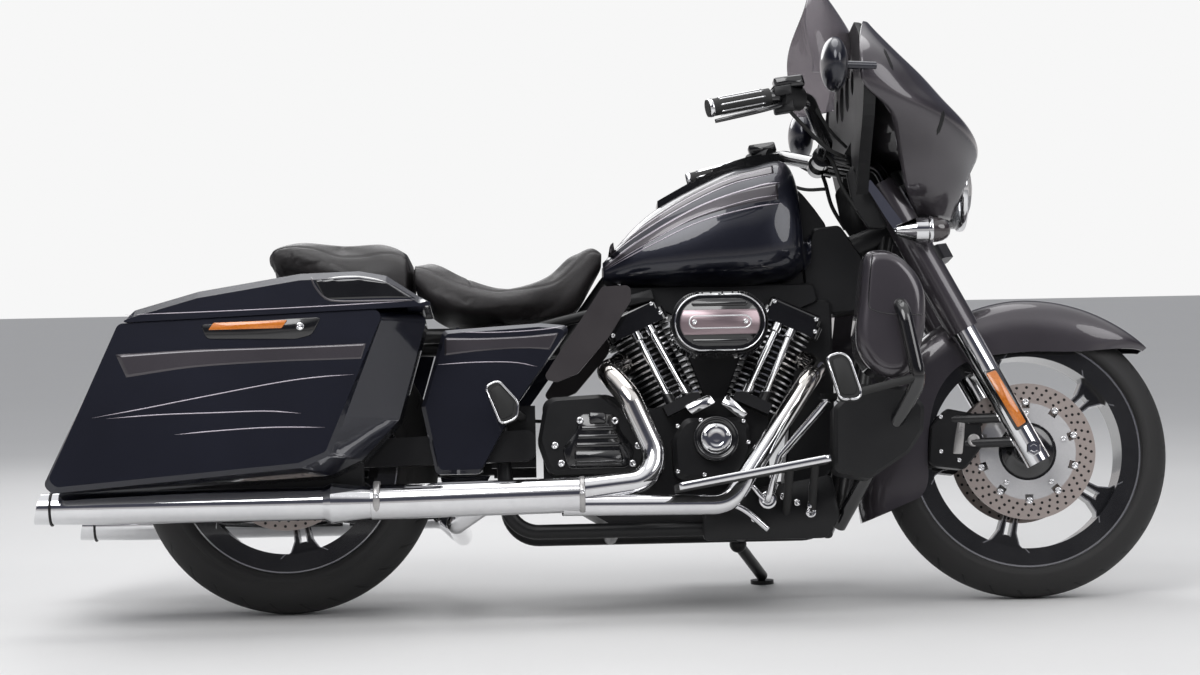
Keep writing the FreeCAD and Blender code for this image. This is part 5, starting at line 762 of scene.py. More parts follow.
def seat_grid(rows, sizes, roundness, inset, count=72, sides=72):
    """Superellipse sections along the seat: across = w |cos|^(2/n), up = h |sin|^(2/n), drawn in by inset."""
    rear, length, base, rise, half_width = sizes
    table = smooth_path(np.array(rows), count)
    along, top, bottom, wide, waist = table.T
    x = rear + length * np.clip(along, 0, 1)
    x = np.interp(x, (rear, rear + length), (rear + inset, rear + length - inset))
    top, bottom = base + rise * top - inset, base + rise * bottom + inset * 0.5
    middle = bottom + (top - bottom) * waist
    half = np.maximum(half_width * wide - inset, 8.0)
    angle = np.linspace(0, 2 * math.pi, sides, endpoint=False)
    across = np.sign(np.cos(angle)) * np.abs(np.cos(angle)) ** (2 / roundness)
    up = np.sign(np.sin(angle)) * np.abs(np.sin(angle)) ** (2 / roundness)
    lift = np.where(up[None] > 0, (top - middle)[:, None], (middle - bottom)[:, None])
    grid = np.stack((np.broadcast_to(x[:, None], lift.shape), half[:, None] * across,
        middle[:, None] + lift * up), -1)
    return grid


def coordinates(item):
    """The mesh's points as one array, in metres."""
    spots = np.empty(len(item.data.vertices) * 3)
    item.data.vertices.foreach_get("co", spots)
    return spots.reshape(-1, 3)


def set_coordinates(item, spots):
    item.data.vertices.foreach_set("co", np.ascontiguousarray(spots, float).ravel())
    item.data.update()


def apply_modifiers(item):
    """Puts what the modifiers make into the object's own mesh."""
    graph = bpy.context.evaluated_depsgraph_get()
    made = bpy.data.meshes.new_from_object(item.evaluated_get(graph))
    old = item.data
    item.modifiers.clear()
    item.data = made
    made.name = item.name
    bpy.data.meshes.remove(old)


def swell(item, voxel, cap):
    """Remeshes a form evenly and lets air pressure fill it, moving no point further than cap metres."""
    remesh = item.modifiers.new("even", "REMESH")
    remesh.mode, remesh.voxel_size = "VOXEL", voxel
    apply_modifiers(item)
    before = coordinates(item)
    cloth = item.modifiers.new("foam", "CLOTH")
    cloth.settings.quality = 5
    cloth.settings.use_pressure = True
    cloth.settings.uniform_pressure_force = FOAM_PRESSURE
    cloth.settings.effector_weights.gravity = 0.0
    cloth.settings.tension_stiffness = cloth.settings.compression_stiffness = FOAM_STIFFNESS
    cloth.point_cache.frame_start, cloth.point_cache.frame_end = 1, FOAM_FRAMES
    scene = bpy.context.scene
    for step in range(1, FOAM_FRAMES + 1):
        scene.frame_set(step)
    apply_modifiers(item)
    scene.frame_set(1)
    moved = coordinates(item) - before
    far = np.linalg.norm(moved, axis=1, keepdims=True)
    set_coordinates(item, before + moved * np.minimum(1.0, cap / np.maximum(far, 1e-9)))


def rounded(item):
    """One level of subdivision, applied."""
    smooth = item.modifiers.new("round", "SUBSURF")
    smooth.levels = smooth.render_levels = 1
    apply_modifiers(item)
    item.data.shade_smooth()


def groove(item, distance, width, depth):
    """Sinks the surface by depth exp(-(d / width)^2) along its normals, d being mm from a line."""
    normals = np.empty(len(item.data.vertices) * 3)
    item.data.vertex_normals.foreach_get("vector", normals)
    drop = depth * np.exp(-(distance / width) ** 2)
    set_coordinates(item, coordinates(item) - normals.reshape(-1, 3) * drop[:, None] * 0.001)


def pad(name, node, rows, sizes, seams):
    """A seat: the grid of its sections, swollen as foam, then sewn along the seams that a function gives."""
    grid = seat_grid(rows, sizes, SEAT_ROUNDNESS, FOAM_INSET)
    item = mesh_object(name, *closed_grid(grid))
    swell(item, FOAM_VOXEL, trim().pad_rise)
    rounded(item)
    for distance, width, depth in seams(upright(coordinates(item))):
        groove(item, distance, width, depth)
    fitted(item, "chassis", "leather")
    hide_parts(node)


def seat_levels(spots, rows, sizes, share):
    """Half width at each spot, and whether it lies above the given share of the seat's own height there."""
    rear, length, base, rise, half_width = sizes
    table = np.array(rows)
    along = (spots[:, 0] - rear) / length
    wide = np.interp(along, table[:, 0], table[:, 3]) * half_width
    level = base + rise * (table[:, 1] * share + table[:, 2] * (1.0 - share))
    return wide, spots[:, 2] > np.interp(along, table[:, 0], level)


def rider_seams(spots):
    """Distances in mm from the rider seat's seams: along its shoulder, and across it ahead of the bolster."""
    x, y, _ = spots.T
    wide, above = seat_levels(spots, SEAT_ROWS, RIDER_SIZES, 0.55)
    shoulder = np.where(above, np.abs(np.abs(y) - wide * 0.80), AWAY)
    bow = x - (392.0 + 0.0011 * y * y)
    across = np.where(above & (np.abs(y) < wide * 0.8), np.abs(bow), AWAY)
    return (shoulder, 3.2, 2.6), (across, 3.2, 2.4)


def pillion_seams(spots):
    """Distances in mm from the pillion seat's seams along both its shoulders."""
    wide, above = seat_levels(spots, PILLION_ROWS, PILLION_SIZES, 0.6)
    shoulder = np.where(above, np.abs(np.abs(spots[:, 1]) - wide * 0.78), AWAY)
    return ((shoulder, 3.0, 2.4),)


class CRUISER_OT_seats(bpy.types.Operator):
    """Pads and seams of both seats"""
    bl_idname = "cruiser.seats"
    bl_label = "Seats"

    def execute(self, context):
        pad("rider_pad", "rider_seat", SEAT_ROWS, RIDER_SIZES, rider_seams)
        pad("pillion_pad", "pillion_seat", PILLION_ROWS, PILLION_SIZES, pillion_seams)
        return {"FINISHED"}


class CRUISER_OT_finishes(bpy.types.Operator):
    """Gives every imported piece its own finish"""
    bl_idname = "cruiser.finishes"
    bl_label = "Finishes"

    def execute(self, context):
        for name, nodes in NODES_OF_FINISH.items():
            for node in nodes.split():
                dress(NODES[node], name)
        return {"FINISHED"}


# Plates and painted lines

def both(*parts):
    """The right side's parts and their mirror images."""
    return [*parts, *((points * (1, -1, 1), [face[::-1] for face in faces]) for points, faces in parts)]


def rounded_outline(corners, radius, steps=5):
    """Corner points with each corner turned into a short quadratic curve that starts radius before it."""
    corners = np.asarray(corners, float)
    back, ahead = np.roll(corners, 1, axis=0) - corners, np.roll(corners, -1, axis=0) - corners
    long_back, long_ahead = (np.linalg.norm(side, axis=1, keepdims=True) for side in (back, ahead))
    start = corners + back / long_back * np.minimum(radius, long_back * 0.45)
    end = corners + ahead / long_ahead * np.minimum(radius, long_ahead * 0.45)
    t = np.linspace(0, 1, steps)[None, :, None]
    curve = (1 - t) ** 2 * start[:, None] + 2 * t * (1 - t) * corners[:, None] + t**2 * end[:, None]
    return curve.reshape(-1, 2)


def stadium(centre, half_length, half_height, steps=14):
    """Two half circles of half_height joined by straight runs, as (x, z)."""
    turn = np.linspace(-math.pi / 2, math.pi / 2, steps)
    reach = half_length - half_height
    right = np.stack((reach + half_height * np.cos(turn), half_height * np.sin(turn)), -1)
    return np.concatenate((right, -right)) + centre


def shrunk(outline, inset):
    """The outline drawn towards its middle so that its extents fall by inset on every side."""
    low, high = outline.min(0), outline.max(0)
    middle, half = (low + high) / 2, (high - low) / 2
    return middle + (outline - middle) * np.maximum(half - inset, 0.2) / half


def at_level(outline, y):
    """The (x, z) outline as points at one lateral place."""
    return np.insert(np.asarray(outline, float), 1, y, axis=1)


def smooth_loop(path, count):
    """A smooth curve through the points and back to the first."""
    return smooth_path(np.concatenate((path, path[:1])), count)


def plate_form(outline, insets, levels):
    """Closed form across the bike: the outline drawn in by each inset at each level, its faces outwards."""
    grid = np.stack([at_level(shrunk(outline, inset), level) for inset, level in zip(insets, levels)])
    x, z = outline.T
    area = np.sum(x * np.roll(z, -1) - np.roll(x, -1) * z)
    return closed_grid(grid[:, ::-1] if (area > 0) == (levels[1] > levels[0]) else grid)


def plate(outline, base, face, bevel=0.8, dish=0.0):
    """Flat plate across the bike: the (x, z) outline from base to face in y, with a bevelled, dished rim."""
    way = math.copysign(1.0, face - base)
    insets, levels = [0.0, 0.0, bevel], [base, face - way * bevel, face]
    if dish:
        insets += [bevel * 2.5, bevel * 3.5]
        levels += [face, face - way * dish]
    return plate_form(np.asarray(outline, float), insets, levels)


def pillow(outline, base, face, radius, steps=7):
    """Plate whose outer rim is a quarter round: inset radius (1 - cos a), level face - radius (1 - sin a)."""
    turn = np.linspace(0, math.pi / 2, steps)
    insets = np.concatenate(((0.0,), radius * (1 - np.cos(turn))))
    levels = np.concatenate(((base,), face - math.copysign(radius, face - base) * (1 - np.sin(turn))))
    return plate_form(outline, insets, levels)


def slab(corners, radius, *levels):
    """Bevelled plate whose corners are rounded by the radius; levels are those of plate."""
    return plate(rounded_outline(corners, radius), *levels)


def ribbon(points, width, count=70, taper=0.15):
    """Flat ribbon in the side view: a smooth curve through (x, z) points plus and minus half its width."""
    curve = smooth_path(points, count)
    along = unit(np.gradient(curve, axis=0))
    across = np.stack((-along[:, 1], along[:, 0]), -1)
    share = np.linspace(0, 1, count)
    half = width / 2 * np.clip(np.minimum(share, 1 - share) / taper, 0.15, 1)
    spread = np.linspace(-1, 1, 3 if width < 5 else 7)
    return curve[:, None] + across[:, None] * half[:, None, None] * spread[None, :, None]


def between(low, high, count=60, rows=10):
    """Flat sheet in the side view between two smooth curves of (x, z) points."""
    share = np.linspace(0, 1, rows)[None, :, None]
    first, second = smooth_path(low, count)[:, None], smooth_path(high, count)[:, None]
    return first * (1 - share) + second * share


def inlays(*rows):
    """An inlay for each row on either side; {} in the names of its body and node stands for the side."""
    for tag, side in SIDES:
        for name, body, node, finish_name, sheets, reach, *film in rows:
            inlay(name + "_" + tag, body.format(tag), node.format(tag), finish_name, sheets, side * reach,
                *film)


def inlay(name, body, node, finish_name, sheets, start_y, rise=0.35, thick=0.3, slot=None):
    """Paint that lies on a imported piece: flat sheets at a lateral place, projected level onto it.

    The sheet's object is turned as the bike leans, so that the projection runs square across the bike;
    afterwards its place goes into the mesh, as on every piece."""
    parts = []
    for sheet in sheets:
        rows, columns = sheet.shape[:2]
        points = at_level(sheet.reshape(-1, 2), start_y)
        faces = grid_faces(rows, columns)
        corner = points[faces[0]]
        if np.cross(corner[1] - corner[0], corner[2] - corner[0])[1] * start_y < 0:
            faces = faces[:, ::-1]
        parts.append((points, faces.tolist()))
    points, faces = merged(parts)
    mesh = bpy.data.meshes.new(name)
    mesh.from_pydata((points * 0.001).tolist(), [], faces)
    item = linked(name, mesh)
    item.matrix_world = Matrix.Translation(Vector(PARKED * 0.001)) @ Matrix.Rotation(LEAN, 4, "X")
    bpy.context.view_layer.update()
    wrap = item.modifiers.new("wrap", "SHRINKWRAP")
    wrap.target = NODES[node] if node in NODES else bpy.data.objects[node]
    wrap.wrap_method, wrap.wrap_mode = "PROJECT", "ABOVE_SURFACE"
    wrap.use_project_y = True
    wrap.use_negative_direction, wrap.use_positive_direction = start_y > 0, start_y < 0
    wrap.offset = rise * 0.001
    shell = item.modifiers.new("film", "SOLIDIFY")
    shell.thickness, shell.offset = thick * 0.001, -1.0
    apply_modifiers(item)
    item.data.transform(item.matrix_world)
    item.matrix_world = Matrix.Identity(4)
    item.data.shade_smooth()
    return fitted(item, body, finish_name)


# Points of each painted line as (x, z), and its width
BAG_LINES = (
    (((-371, 399), (-267, 416), (-167, 434), (0, 463), (88, 474), (170, 479)), 2.2),
    (((-341, 397), (-233, 403), (-112, 405), (-12, 406), (60, 400)), 2.2),
    (((-201, 361), (-101, 368), (0, 372), (109, 370)), 2.2),
)
TANK_LINES = (
    (((702, 745), (782, 799), (916, 870), (1040, 911), (1094, 921)), 4.2),
    (((706, 739), (803, 784), (914, 833), (1030, 862), (1098, 872)), 2.4),
    (((705, 741), (800, 791), (908, 845), (1020, 879), (1090, 891)), 1.8),
    (((708, 766), (795, 823), (898, 881), (990, 921), (1088, 944)), 2.6),
    (((714, 779), (800, 838), (900, 897), (990, 935), (1085, 958)), 1.8),
)
COVER_LINES = (
    (((384, 590), (470, 588), (560, 592), (612, 599)), 2),
    (((330, 520), (420, 524), (500, 522), (550, 512)), 2),
)
# Lower and upper edge of each painted tone as (x, z), and its steps along and across; the bag's is a painted
# reflection
BAG_REFLECTION_BANDS = (
    (((-300, 482), (-160, 500), (0, 508), (120, 510), (186, 511)),
     ((-322, 530), (-156, 537), (0, 539), (120, 541), (196, 543)), 60, 8),
)
TANK_TONES = (
    (((712, 772), (795, 826), (898, 884), (990, 924), (1082, 944)),
     ((716, 781), (800, 846), (900, 906), (990, 944), (1082, 966)), 60, 8),
    (((706, 742), (800, 792), (900, 838), (1000, 866), (1088, 880)),
     ((704, 752), (800, 812), (900, 866), (1000, 900), (1088, 918)), 60, 8),
)
COVER_TONES = (
    (((352, 540), (430, 548), (520, 552), (578, 548)),
     ((352, 578), (430, 576), (520, 578), (598, 584)), 40, 8),
)


def ribbons(rows):
    """A ribbon for each row of points and width."""
    return [ribbon(*row) for row in rows]


def tones(rows):
    """A sheet for each row of two edges and steps."""
    return [between(*row) for row in rows]


class CRUISER_OT_bag_trim(bpy.types.Operator):
    """Lock plates, reflectors, painted lines and lid panels of the saddlebags"""
    bl_idname = "cruiser.bag_trim"
    bl_label = "Bag trim"

    def execute(self, context):
        piece("lock_plates", "gloss_black", both(slab(((-146, 589), (-134, 559), (52, 555), (84, 563),
            (104, 600), (40, 598)), 9, -424, -428, 1.2)), slot="black_plastic")
        piece("bag_reflectors", "amber", both(slab(((-130, 577), (-119, 592), (34, 595), (22, 578)), 3,
            -427.5, -430.2, 0.8)))
        lock = [(8.5, -1), (8.5, 3), (7.4, 4.2), (4.6, 4.4), (4.2, 3.4), (1.2, 3.4), (1, 4)]
        piece("bag_locks", "polished", both(lathe(lock, (60, -427.5, 581), OUTWARDS, 28)))
        # The charcoal band laid on each bag is a painted reflection.
        inlays(("bag_lines", "chassis", "saddlebag_{}", "stripe_lacquer", ribbons(BAG_LINES), BAG_REACH),
            ("bag_tone", "chassis", "saddlebag_{}", "accent_lacquer", tones(BAG_REFLECTION_BANDS), BAG_REACH, 0.25))
        panel = between(((112, 636), (160, 636), (240, 637), (300, 636)),
            ((92, 676), (150, 686), (210, 681), (256, 664)), 40, 12)
        rim = ribbon(((84, 684), (92, 664), (112, 640), (140, 632), (220, 631), (300, 631)), 4, 60, 0.04)
        line = ribbon(((-300, 612), (-100, 616), (100, 622), (300, 630)), 1.8)
        lid = "lid_{}", "saddlebag_lid_{}"
        inlays(("lid_panel", *lid, "gloss_black", [panel], LID_REACH, 0.3, 0.3, "black_plastic"),
            ("lid_rim", *lid, "accent_lacquer", [rim], LID_REACH, 0.9, 0.8),
            ("lid_line", *lid, "stripe_lacquer", [line], LID_REACH))
        return {"FINISHED"}


class CRUISER_OT_tank_trim(bpy.types.Operator):
    """Flowing painted stripes of the tank and the lines of the side covers"""
    bl_idname = "cruiser.tank_trim"
    bl_label = "Tank trim"

    def execute(self, context):
        inlays(("tank_bands", "chassis", "fuel_tank", "accent_lacquer", tones(TANK_TONES), TANK_REACH, 0.25),
            ("tank_lines", "chassis", "fuel_tank", "stripe_lacquer", ribbons(TANK_LINES), TANK_REACH, 0.45),
            ("cover_lines", "chassis", "side_covers", "stripe_lacquer", ribbons(COVER_LINES), COVER_REACH),
            ("cover_tone", "chassis", "side_covers", "accent_lacquer", tones(COVER_TONES), COVER_REACH, 0.25))
        return {"FINISHED"}


# Corners of each plate as (x, z), the corners' radius, base and face across the bike, and the bevel
GEARBOX_RIBS = (
    (((612, 290), (600, 335), (632, 372), (640, 410), (716, 408), (728, 368), (758, 332), (742, 290)), 12,
     GEARBOX_FACE, -199.5, 2.4),
    *((((x0, z), (x1, z), (x1, z + 11), (x0, z + 11)), 4, GEARBOX_FACE, -203, 2.2)
      for z, x0, x1 in ((372, 642, 714), (354, 634, 722), (336, 630, 726), (296, 628, 730))),
    (((628, 300), (626, 330), (728, 330), (732, 300)), 8, GEARBOX_FACE, -205, 3),
    (((660, 388), (660, 412), (696, 410), (696, 388)), 4, GEARBOX_FACE, -204, 2),
)
BACKING_PLATES = {
    "cover": (((742, 664), (736, 704), (1168, 704), (1176, 664), (1120, 640), (1060, 650), (1010, 622),
               (876, 622), (828, 650), (790, 640)), 10, 58, -58, 4),
    "manifold": (((856, 622), (1030, 622), (962, 444), (922, 444)), 12, 40, -46, 4),
    "mount": (((1080, 664), (1206, 668), (1204, 300), (1150, 236), (1088, 262), (1108, 420), (1120, 560)),
              14, 48, -48, 5),
    "neck": (((1150, 664), (1146, 748), (1172, 832), (1232, 838), (1284, 760), (1296, 690), (1262, 640),
              (1206, 636)), 10, 30, -30, 5),
    "harness": (((1096, 946), (1126, 934), (1152, 910), (1178, 876), (1202, 840), (1200, 700), (1170, 690),
                 (1100, 690), (1086, 780)), 8, 24, -24, 4),
}


class CRUISER_OT_engine_trim(bpy.types.Operator):
    """Air cleaner face, timer cover, ribs and screws of the engine"""
    bl_idname = "cruiser.engine_trim"
    bl_label = "Engine trim"

    def execute(self, context):
        centre = np.array((943, 593))
        face = -268
        long = smooth_loop(at_level(stadium(centre, 96, 60), face), 150)
        piece("cleaner_ring", "polished", sweep(long, circle(1.9, 8)))
        piece("cleaner_face", "gloss_black", plate(stadium(centre, 88, 52), face + 1, face - 3, 2))
        bow, half = 50, 27
        turn = np.linspace(-math.asin(half / bow), math.asin(half / bow), 10)
        arc = np.stack((36 + bow * np.cos(turn), bow * np.sin(turn)), -1)
        band = np.concatenate((arc, -arc)) + centre
        piece("cleaner_band", "mauve_band", plate(band, face - 2.5, face - 7.5, 1.6))
        piece("cleaner_inset", "machined", plate(stadium(centre, 68, 15), face - 7, face - 8.3, 1, 1.2))
        piece("cleaner_grooves", "gloss_black", [plate(stadium(centre + (0, side * 40), 60, 4.5), face - 2,
            face - 5, 1) for side in (-1, 1)])
        marks = at_level([centre + (side * 55, 0) for side in (-1, 1)], face - 8)
        piece("cleaner_screws", "polished", screws(marks, 5.5, 2.6))
        outer = smooth_loop(stadium(centre, 102.5, 66.5), 97)[:-1]
        teeth = [plate(spot + np.array(((-1.6, -1.6), (1.6, -1.6), (1.6, 1.6), (-1.6, 1.6))), face + 26,
            face + 4, 0.5) for spot in outer]
        piece("cleaner_knurl", "black_metal", teeth, smooth=False)
        timer = np.array((931, -222, 348))
        bezel = [(48.5, -1), (48.5, 3.5), (46, 5), (41, 5), (39.5, 3), (35, 3), (2, 3)]
        dome = [(35, 2), (33.5, 8), (30, 11), (18, 13), (16.5, 12), (8, 12.6), (1, 12.8)]
        piece("timer_ring", "gloss_black", lathe(bezel, timer, OUTWARDS, 64))
        piece("timer_cap", "polished", lathe(dome, timer, OUTWARDS, 64))
        turns = np.radians(np.arange(5) * 72 + 90)
        small = timer + np.stack((25 * np.cos(turns), np.full(5, -11.5), 25 * np.sin(turns)), -1)
        piece("timer_screws", "machined", screws(small, 3.4, 2))
        cam = [(850, -200, 378), (848, -200, 280), (905, -200, 272), (985, -200, 282), (1001, -200, 340),
            (992, -200, 386), (900, -200, 390)]
        gear = [(640, -196, 395), (716, -196, 393), (585, -196, 342), (764, -196, 338), (598, -196, 303),
            (752, -196, 300)]
        radius = trim().bolt_radius * 1000
        piece("cover_screws", "polished", [screws(cam, radius * 0.8, 4), screws(gear, radius * 1.35, 6)])
        piece("gearbox_ribs", "gloss_black", [slab(*row) for row in GEARBOX_RIBS])
        caps = []
        for way in (-1, 1):
            axis = np.array((way * math.sin(VEE_HALF_ANGLE), 0, math.cos(VEE_HALF_ANGLE)))
            level = np.array((axis[2], 0, -axis[0]))
            for up, span, out in ((401, 58, -102.5), (429, 50, -88.5)):
                caps += [CRANK + axis * up + level * offset + (0, out, 0) for offset in (-span, span)]
        piece("rocker_screws", "polished", both(screws(caps, 5, 4)))
        blocks = ((866, 424), (922, 450), (936, 430), (884, 404)), ((960, 449), (1006, 406), (990, 392),
            (946, 428))
        piece("tappet_plates", "polished", [slab(block, 6, -165.5, -169, 1.4) for block in blocks])
        return {"FINISHED"}


class CRUISER_OT_exhaust_trim(bpy.types.Operator):
    """Clamps, their screws and the tip seams of the exhaust"""
    bl_idname = "cruiser.exhaust_trim"
    bl_label = "Exhaust trim"

    def execute(self, context):
        piece("exhaust_clamps", "satin_steel", [ring_band(38.4, 1.6, 7, (208, -300, 226), FORWARDS),
            ring_band(37.8, 1.5, 6, (640, -300, 228), FORWARDS)])
        piece("tip_seams", "black_metal", both(ring_band(35.6, 0.9, 2.4, (-474, -300, 221), FORWARDS)))
        bolts = [(208, -339.5, 232), (640, -338, 232)]
        piece("clamp_screws", "polished", screws(bolts, 6, 5))
        return {"FINISHED"}


class CRUISER_OT_front_trim(bpy.types.Operator):
    """Fork reflectors, axle and hub caps, caliper insets, disc buttons and signal lenses of the front end"""
    bl_idname = "cruiser.front_trim"
    bl_label = "Front trim"

    def execute(self, context):
        steered("reflector_frames", "gloss_black", both(slab(((1520, 487), (1551, 497), (1618, 374),
            (1590, 356)), 7, -140, -149, 1.5)), slot="black_plastic")
        steered("fork_reflectors", "amber", both(slab(((1527, 484), (1549, 491), (1611, 376), (1592, 364)), 4,
            -148, -152, 1)))
        cap = [(17, -3), (17, 5), (15, 7), (9, 7.2), (8.2, 5.5), (1, 5.5)]
        steered("axle_caps", "polished", both(lathe(cap, FRONT_AXLE + (0, -146, 0), OUTWARDS, 6)),
            smooth=False)
        steered("caliper_insets", "satin_steel", both(slab(((1456, 314), (1462, 352), (1470, 388),
            (1486, 386), (1482, 350), (1477, 313)), 4, -98.5, -101, 1.2)))
        boss = [(14, -2), (14, 3), (12.5, 4.4), (8, 4.6), (7, 3), (1, 3.6)]
        steered("caliper_bosses", "satin_steel", both(lathe(boss, (1503, -99, 343), OUTWARDS, 32)))
        pins = [(1493, -99, 385), (1469, -99, 300), (1432, -99, 396), (1430, -99, 320)]
        steered("caliper_screws", "polished", both(screws(pins, 5, 4.5)))
        turns = np.linspace(0, 2 * math.pi, 10, endpoint=False) + math.pi / 10
        buttons, inner = (FRONT_AXLE + np.stack((reach * np.cos(some), np.full(len(some), -71),
            reach * np.sin(some)), -1) for reach, some in ((109, turns), (84, turns[::2])))
        rolled("disc_buttons", "polished", both(screws(buttons, 7.5, 2.6), screws(inner, 6, 5)))
        hub = [(60, -1), (60, 2), (56, 4), (40, 5), (38, 9), (24, 10), (22, 9)]
        rolled("hub_caps", "gloss_black", both(lathe(hub, FRONT_AXLE + (0, -68, 0), OUTWARDS, 48)))
        glass = [(26.5, -1), (27.5, 4), (27, 14), (24.5, 26), (19, 36), (11, 42), (1, 44)]
        ring = [(28.6, -6), (30, -3), (30, 3), (28.4, 5), (26, 5)]
        spots = (1412, -190, 797)
        steered("signal_lenses", "smoked_lens", both(lathe(glass, spots, FORWARDS, 32)))
        steered("signal_rings", "polished", both(lathe(ring, spots, FORWARDS, 40)))
        return {"FINISHED"}


class CRUISER_OT_foot_trim(bpy.types.Operator):
    """Rims and pads of the foot pegs"""
    bl_idname = "cruiser.foot_trim"
    bl_label = "Foot trim"

    def execute(self, context):
        highway = scaled_outline(((0, 0.91), (0.42, 1), (0.68, 0.875), (1, 0.125), (0.88, 0), (0.37, 0)),
            1146, 399, 76, 104)
        rear = scaled_outline(((0, 0.86), (0.40, 1), (1, 0.50), (0.95, 0.14), (0.47, 0)), 436, 377, 76, 100)
        pegs = ((highway, -464), (rear, -304))
        rings = [at_level(rounded_outline(shrunk(outline, 3), 12), face - 0.5) for outline, face in pegs]
        rims = [sweep(smooth_loop(ring, 90), circle(2.6, 8)) for ring in rings]
        piece("peg_rims", "polished", both(*rims))
        pads = [slab(shrunk(outline, 12), 9, face + 1, face - 2.5, 1.5) for outline, face in pegs]
        piece("peg_pads", "black_rubber", both(*pads))
        return {"FINISHED"}


def scaled_outline(shares, x, z, length, height):
    """Corners given as shares of a length and a height, from the corner (x, z)."""
    return np.asarray(shares, float) * (length, height) + (x, z)


# Fairing, cockpit and the dark pieces behind the engine

FAIRING_ROWS = np.array((
    # share of the height; nose set back, rear edge set back, half width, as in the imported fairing
    (0.0, 0.20, 0.48, 0.27), (0.08, 0.127, 0.573, 0.42), (0.26, 0.04, 0.667, 0.62), (0.37, 0.0, 0.72, 0.78),
    (0.48, 0.087, 0.793, 0.92), (0.58, 0.22, 0.953, 0.99), (0.70, 0.38, 0.987, 1.0),
    (0.80, 0.533, 0.98, 0.95), (0.91, 0.68, 0.947, 0.80), (1.0, 0.793, 0.90, 0.62)))


def spline(knots, values, at):
    """Clamped cubic spline through (knots, values); end slopes come from the parabola of three points."""
    step = np.diff(knots)
    rise = np.diff(values, axis=0) / step[:, None]
    first = rise[0] - (rise[1] - rise[0]) / (step[0] + step[1]) * step[0]
    last = rise[-1] + (rise[-1] - rise[-2]) / (step[-1] + step[-2]) * step[-1]
    count = len(knots)
    matrix = np.eye(count)
    side = np.empty_like(values)
    side[0], side[-1] = first, last
    for i in range(1, count - 1):
        matrix[i, i - 1:i + 2] = step[i], 2 * (step[i - 1] + step[i]), step[i - 1]
        side[i] = 3 * (step[i] * rise[i - 1] + step[i - 1] * rise[i])
    slope = np.linalg.solve(matrix, side)
    k = np.clip(np.searchsorted(knots, at, side="right") - 1, 0, count - 2)
    t, h = ((at - knots[k]) / step[k])[:, None], step[k][:, None]
    return hermite(t, values[k], h * slope[k], values[k + 1], h * slope[k + 1])


def fairing_skin(lift, rows=64, columns=97):
    """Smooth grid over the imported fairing: x = back + (nose - back) cos(a)**0.9, y = half sin(a)**0.9."""
    share = np.linspace(0.0, 1.0, rows)
    nose, rear, wide = spline(FAIRING_ROWS[:, 0], FAIRING_ROWS[:, 1:], share).T[:, :, None]
    angle = np.linspace(-math.pi / 2, math.pi / 2, columns)[None]
    forward = np.clip(np.cos(angle), 0, 1) ** 0.9
    across = np.sign(angle) * np.abs(np.sin(angle)) ** 0.9
    nose, rear = FAIRING_NOSE - FAIRING_DEPTH * nose, FAIRING_NOSE - FAIRING_DEPTH * rear
    level = np.broadcast_to(FAIRING_BASE + FAIRING_HEIGHT * share[:, None], (rows, columns))
    grid = np.stack((rear + (nose - rear) * forward, FAIRING_HALF * wide * across, level), -1)
    normal = unit(np.cross(np.gradient(grid, axis=1), np.gradient(grid, axis=0)))
    return grid + normal * lift


def with_round_hole(grid, radius, y, z):
    """The grid's points and faces without those inside a circle seen along x; its edge is drawn onto it."""
    points = grid.reshape(-1, 3).copy()
    faces = grid_faces(*grid.shape[:2])
    offset = points[:, 1:] - (y, z)
    away = np.linalg.norm(offset, axis=1)
    inside = away < radius
    dropped = inside[faces].any(1)
    edge = np.setdiff1d(np.unique(faces[dropped]), np.nonzero(inside)[0])
    points[edge, 1:] = (y, z) + offset[edge] / away[edge][:, None] * radius
    return points, faces[~dropped]


class CRUISER_OT_fairing_trim(bpy.types.Operator):
    """Smooth lacquered skin, lamp ring, vents, signal arms and fork shrouds of the fairing"""
    bl_idname = "cruiser.fairing_trim"
    bl_label = "Fairing trim"

    def execute(self, context):
        points, faces = with_round_hole(fairing_skin(SKIN_LIFT), 93, 0, LAMP_HEIGHT)
        used, index = np.unique(faces, return_inverse=True)
        skin = steered("fairing_skin", "accent_lacquer", (points[used], index.reshape(faces.shape).tolist()))
        shell = skin.modifiers.new("coat", "SOLIDIFY")
        shell.thickness, shell.offset = SKIN_THICKNESS * 0.001, 1
        apply_modifiers(skin)
        skin.data.shade_smooth()
        steered("headlamp_ring", "polished", ring_band(91.5, 3.6, 8, (1507, 0, LAMP_HEIGHT), FORWARDS))
        vents = [ribbon(((1305, 1166), (1312, 1142), (1321, 1114)), 6, 24),
            ribbon(((1436, 1040), (1430, 1014), (1422, 990)), 8, 24)]
        inlays(("fairing_vents", "steering", "fairing_skin", "black_plastic", vents, FAIRING_REACH, 0.6, 0.5))
        arm = np.array(((1281, -168, 909), (1300, -168, 880), (1328, -168, 836), (1354, -168, 797)), float)
        width = np.array((8, 10, 12, 13))
        flat = np.stack([np.array(((-2.5, -w), (2.5, -w), (2.5, w), (-2.5, w))) for w in width])
        along = unit(np.gradient(arm, axis=0))
        level = np.stack((-along[:, 2], np.zeros(4), along[:, 0]), -1)
        grid = arm[:, None] + flat[..., :1] * np.array((0, 1, 0)) + flat[..., 1:] * level[:, None]
        steered("signal_arms", "polished", both(closed_grid(grid)), smooth=False)
        steered("fork_shrouds", "black_plastic", both(slab(((1240, 936), (1262, 962), (1300, 934),
            (1344, 842), (1322, 812), (1286, 812), (1252, 864)), 8, -117, -130, 3)))
        return {"FINISHED"}


